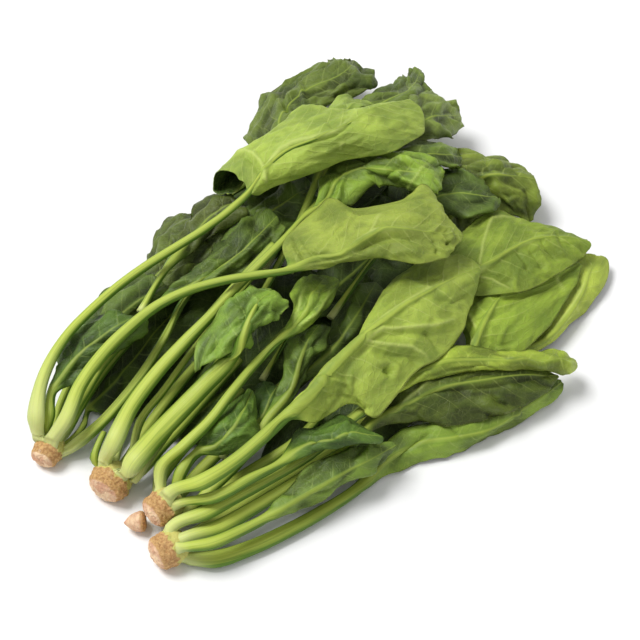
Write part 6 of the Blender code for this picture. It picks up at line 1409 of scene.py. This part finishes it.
def crown_surface(key, seed):
    """Cut root crown: blunt scarred end, rough side, and the pale heart among the stalks."""
    centre, heading, side = plant_frame(key)
    dome, leaf_end, across, up = PLANTS[key][2]
    rows, around = 100, 132
    turn = np.linspace(0, 1, rows)[:, None] * np.pi
    w = (np.arange(around) / around * 2 * np.pi)[None, :]
    reach = -np.cos(turn)  # from -1 on the cut end to 1 among the stalks
    reach = np.sign(reach) * np.abs(reach) ** np.where(reach < 0, 0.74, 1.0)
    radius = np.sin(turn) ** np.where(reach < 0, 0.72, 0.6)
    l, h = np.cos(w) * radius, np.sin(w) * radius
    reach = reach + 0 * w

    def lumps(scale, k):
        return (noise2(l * scale + 3 * k, (reach + 0.5 * h) * scale, seed + k)
                + noise2(h * scale - 2 * k, (reach - 0.5 * l) * scale, seed + 40 + k)) / 1.6

    rim = np.exp(-(((reach - 0.16) / 0.09) ** 2))
    scales = np.maximum(0, noise2(np.cos(w) * 5, np.sin(w) * 5 + reach * 1.5, seed + 9)) + 0.6 * np.maximum(0, noise2(np.cos(w) * 11, np.sin(w) * 11, seed + 10))
    swell = 1 + 0.075 * lumps(1.7, 1) + 0.04 * lumps(4.2, 2) + 0.022 * lumps(9.0, 3) + 0.13 * rim * scales
    swell = swell - 0.05 * np.exp(-(((reach + 0.25) / 0.16) ** 2)) * (0.6 + 0.6 * noise2(np.cos(w) * 3, np.sin(w) * 3, seed + 12))
    along = np.where(reach < 0, reach * dome, reach * (leaf_end + COLLAR))
    face = smooth_step(-reach, 0.45, 0.95)
    along = along + face * (0.5 * noise2(l * 3.0 + 7, h * 3.0, seed + 3) + 0.35 * noise2(l * 7, h * 7, seed + 4))
    points = (centre + heading * along[..., None] + side * (l * across * swell)[..., None]
              + np.array([0, 0, 1.0]) * (h * up * swell)[..., None])
    points[..., 2] = np.maximum(points[..., 2], 0.05)
    bark = 1 - smooth_step(-reach, 0.62, 0.9)
    green = smooth_step(reach + 0.16 * noise2(np.cos(w) * 4, np.sin(w) * 4 + reach * 2, seed + 5), 0.02, 0.3)
    return points, bark, green


def ring_mesh(name, points, values):
    """Closed surface from rings whose first and last close in a fan."""
    rows, around = points.shape[:2]
    vertices = np.concatenate([points.reshape(-1, 3), points[0].mean(0)[None], points[-1].mean(0)[None]])
    i = np.arange(rows - 1)[:, None] * around
    m = np.arange(around)[None, :]
    n = (m + 1) % around
    quads = np.stack([i + m, i + n, i + around + n, i + around + m], axis=-1).reshape(-1, 4)
    first, last = rows * around, rows * around + 1
    m, n = m[0], n[0]
    ends = np.concatenate([
        np.stack([np.full(around, first), n, m], axis=1),
        np.stack([np.full(around, last), (rows - 1) * around + m, (rows - 1) * around + n], axis=1),
    ])
    flat = {}
    for key, grid in values.items():
        grid = grid + np.zeros((rows, around))
        flat[key] = np.concatenate([grid.reshape(-1), [grid[0].mean(), grid[-1].mean()]])
    centre = vertices.mean(0)
    face = vertices[quads[:, :3]]
    volume = np.einsum("ij,ij->i", face[:, 0] - centre, np.cross(face[:, 1] - centre, face[:, 2] - centre)).sum()
    if volume < 0:
        quads, ends = quads[:, ::-1], ends[:, ::-1]
    return mesh_of(name, vertices, quads, ends, flat, {})


# ---------------------------------------------------------------- building
def piece(name, mesh, material, node):
    thing = bpy.data.objects.new(name, mesh)
    mesh.materials.append(material)
    bpy.context.scene.collection.objects.link(thing)
    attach(thing, "root")
    if node:
        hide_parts(node)
    return thing


def build():
    # the coarse solids again, for the places of the leaves
    height = np.zeros(MAP_SHAPE)
    extent = []
    crown_maps = {}
    for key in PLANTS:
        bm = crown(key)
        bmesh.ops.triangulate(bm, faces=bm.faces[:])
        bm.verts.ensure_lookup_table()
        vertices = np.array([vert.co[:] for vert in bm.verts])
        faces = np.array([[vert.index for vert in face.verts] for face in bm.faces])
        bm.free()
        extent.append(vertices)
        crown_maps[key] = np.zeros(MAP_SHAPE)
        stamp(crown_maps[key], vertices, faces)
    stub = root_stub()
    extent.append(np.array([vert.co[:] for vert in stub.verts]))
    stub.free()
    settled = []
    for leaf in LEAVES:
        others = np.maximum.reduce([m for key, m in crown_maps.items() if key != leaf[1]])
        points = ROLLED_POINTS if leaf[5] and len(leaf[5][0]) > 5 else BLADE_POINTS
        placed, thicks, share, _ = lay_down(leaf, np.maximum(height, others), 1, points)
        vertices, faces, _, _ = leaf_mesh(placed, thicks, share, 1, points, bool(leaf[2]))
        stamp(height, vertices, faces)
        extent.append(vertices)
        settled.append((leaf, placed, thicks, share))
    every = np.concatenate(extent)
    low, high = every.min(0), every.max(0)
    shift = np.array([-(low[0] + high[0]) / 2, -(low[1] + high[1]) / 2, -low[2]])

    # fine crowns
    count = 0
    for number, key in enumerate(PLANTS):
        points, bark, green = crown_surface(key, 300 + 7 * number)
        mesh = ring_mesh(f"fine_crown_{key.lower()}", points + shift, {"bark": bark, "green": green})
        piece(f"fine_crown_{key.lower()}", mesh, crown_finish(f"crown_{key.lower()}", 3.0 * number), f"crown_{key.lower()}")
        count += 2 * points.shape[0] * points.shape[1]

    tip, base = at(124, 523, 4.6), at(146, 521, 5.2)
    run = unit(base - tip)
    lateral = unit(np.cross([0, 0, 1.0], run))
    rise = np.cross(run, lateral)
    a = np.linspace(0, 1, 40)[:, None]
    w = (np.arange(64) / 64 * 2 * np.pi)[None, :]
    radius = np.interp(a, [0.0, 0.06, 0.14, 0.28, 0.5, 0.75, 0.9, 1.0], [0.3, 0.9, 1.8, 3.1, 4.3, 4.9, 4.6, 3.2])
    radius = radius * (1 + 0.05 * noise2(np.cos(w) * 1.4 + 5, np.sin(w) * 1.4 + a * 3, 91) + 0.02 * noise2(np.cos(w) * 4 + 5, np.sin(w) * 4 + a * 14, 92))
    points = (tip + run * (a * np.linalg.norm(base - tip))[..., None]
              + lateral * (np.cos(w) * radius)[..., None] + rise * (np.sin(w) * radius)[..., None])
    points[..., 2] = np.maximum(points[..., 2], 0.05)
    mesh = ring_mesh("fine_root_stub", points + shift, {"bark": 0.1 + 0.8 * smooth_step(a, 0.55, 0.95) + 0 * w, "green": 0 * a + 0 * w})
    piece("fine_root_stub", mesh, crown_finish("root_stub", 17.0), "root_stub")

    # fine leaves, from the lowest to the highest
    height = np.zeros(MAP_SHAPE)
    for number, (leaf, placed, thicks, share) in enumerate(settled):
        name = leaf[0]
        seed = 1000 + 101 * number
        if LOOKS.get(name, {}).get("open"):
            parts = open_parts(leaf, placed, thicks, share, seed)
        else:
            parts = [fine_leaf(leaf, placed, thicks, share, seed)]
        others = np.maximum.reduce([m for key, m in crown_maps.items() if key != leaf[1]])
        ground = np.maximum(height, others)
        made, values, maps = [], {}, {}
        for fine in parts:
            top, bottom = drape(fine, ground, fine["look"]["cell"])
            vertices, quads, ends = closed_grid(top, bottom)
            start = sum(len(m[0]) for m in made)
            made.append((vertices, quads + start, ends + start))
            up = fine["look"]["side"] == "under"
            ones, noughts = np.ones_like(fine["d"]), np.zeros_like(fine["d"])
            for key, value in {
                "under": ring_values(ones if up else noughts, noughts if up else ones),
                "rib": ring_values(fine["rib"]),
                "edge": ring_values(fine["e"]),
                "vein": ring_values(fine["vein"], noughts),
                "crest": ring_values(fine["crest"], noughts),
                "blade": ring_values(fine["b"]),
                "relief": ring_values(fine["relief"], 1 - fine["relief"]),
                "run": ring_values(fine["run"]),
            }.items():
                values.setdefault(key, []).append(value)
            for key, value in {
                "spread": (ring_values(fine["s"] / 10), ring_values(fine["d"] / 10)),
                "veins": (ring_values(fine["phase"]), ring_values(fine["d"] / 10)),
            }.items():
                maps.setdefault(key, []).append(value)
        vertices, quads, ends = (np.concatenate([m[k] for m in made]) for k in range(3))
        stamp(height, vertices, np.concatenate([quads[:, [0, 1, 2]], quads[:, [0, 2, 3]]]))
        values = {key: np.concatenate(v) for key, v in values.items()}
        maps = {key: (np.concatenate([x for x, _ in v]), np.concatenate([y for _, y in v])) for key, v in maps.items()}
        mesh = mesh_of(f"fine_{name}", vertices + shift, quads, ends, values, maps)
        piece(f"fine_{name}", mesh, leaf_finish(name, parts[0]["look"], 1.0 + 2.3 * number), name)
        count += 2 * len(quads) + len(ends)
    print("triangles", count)
    return shift


SHIFT = build()

# ---------------------------------------------------------------- floor, light, camera
scene = bpy.context.scene
scene.view_settings.view_transform = "Standard"
scene.view_settings.look = "None"

bpy.ops.mesh.primitive_plane_add(size=6.0, location=(0, 0, -0.0002))
floor = bpy.context.object
floor.name = "floor"
ground = bpy.data.materials.new("floor")
ground.use_nodes = True
paper = ground.node_tree.nodes["Principled BSDF"]
paper.inputs["Base Color"].default_value = (0.93, 0.93, 0.93, 1)
paper.inputs["Roughness"].default_value = 0.9
paper.inputs["Specular IOR Level"].default_value = 0.1
floor.data.materials.append(ground)

world = bpy.data.worlds.new("studio")
scene.world = world
world.use_nodes = True
world.node_tree.nodes["Background"].inputs["Color"].default_value = (1.0, 1.0, 1.0, 1)
world.node_tree.nodes["Background"].inputs["Strength"].default_value = 0.55


def panel(name, place, size, power):
    light = bpy.data.lights.new(name, "AREA")
    light.shape, light.size, light.energy = "SQUARE", size, power
    thing = bpy.data.objects.new(name, light)
    scene.collection.objects.link(thing)
    thing.location = place
    thing.rotation_euler = Vector(place).to_track_quat("Z", "Y").to_euler()
    return thing


back = Vector([float(x) for x in BACK])
right = Vector([float(x) for x in RIGHT])
upward = Vector([float(x) for x in UPWARD])
key_place = (back * 0.35 - right * 0.62 + upward * 0.55 + Vector((0, 0, 0.6))) * 2.6
panel("key", key_place, 1.5, 104.0)

camera = bpy.data.cameras.new("camera")
camera.lens, camera.sensor_width, camera.clip_start = 100.0, 36.0, 0.01
view = bpy.data.objects.new("camera", camera)
scene.collection.objects.link(view)
turned = Matrix((right, upward, back)).transposed().to_4x4()
turned.translation = Vector([float(x) / 1000 for x in SHIFT]) + back * (EYE_DISTANCE / 1000)
view.matrix_world = turned
scene.camera = view
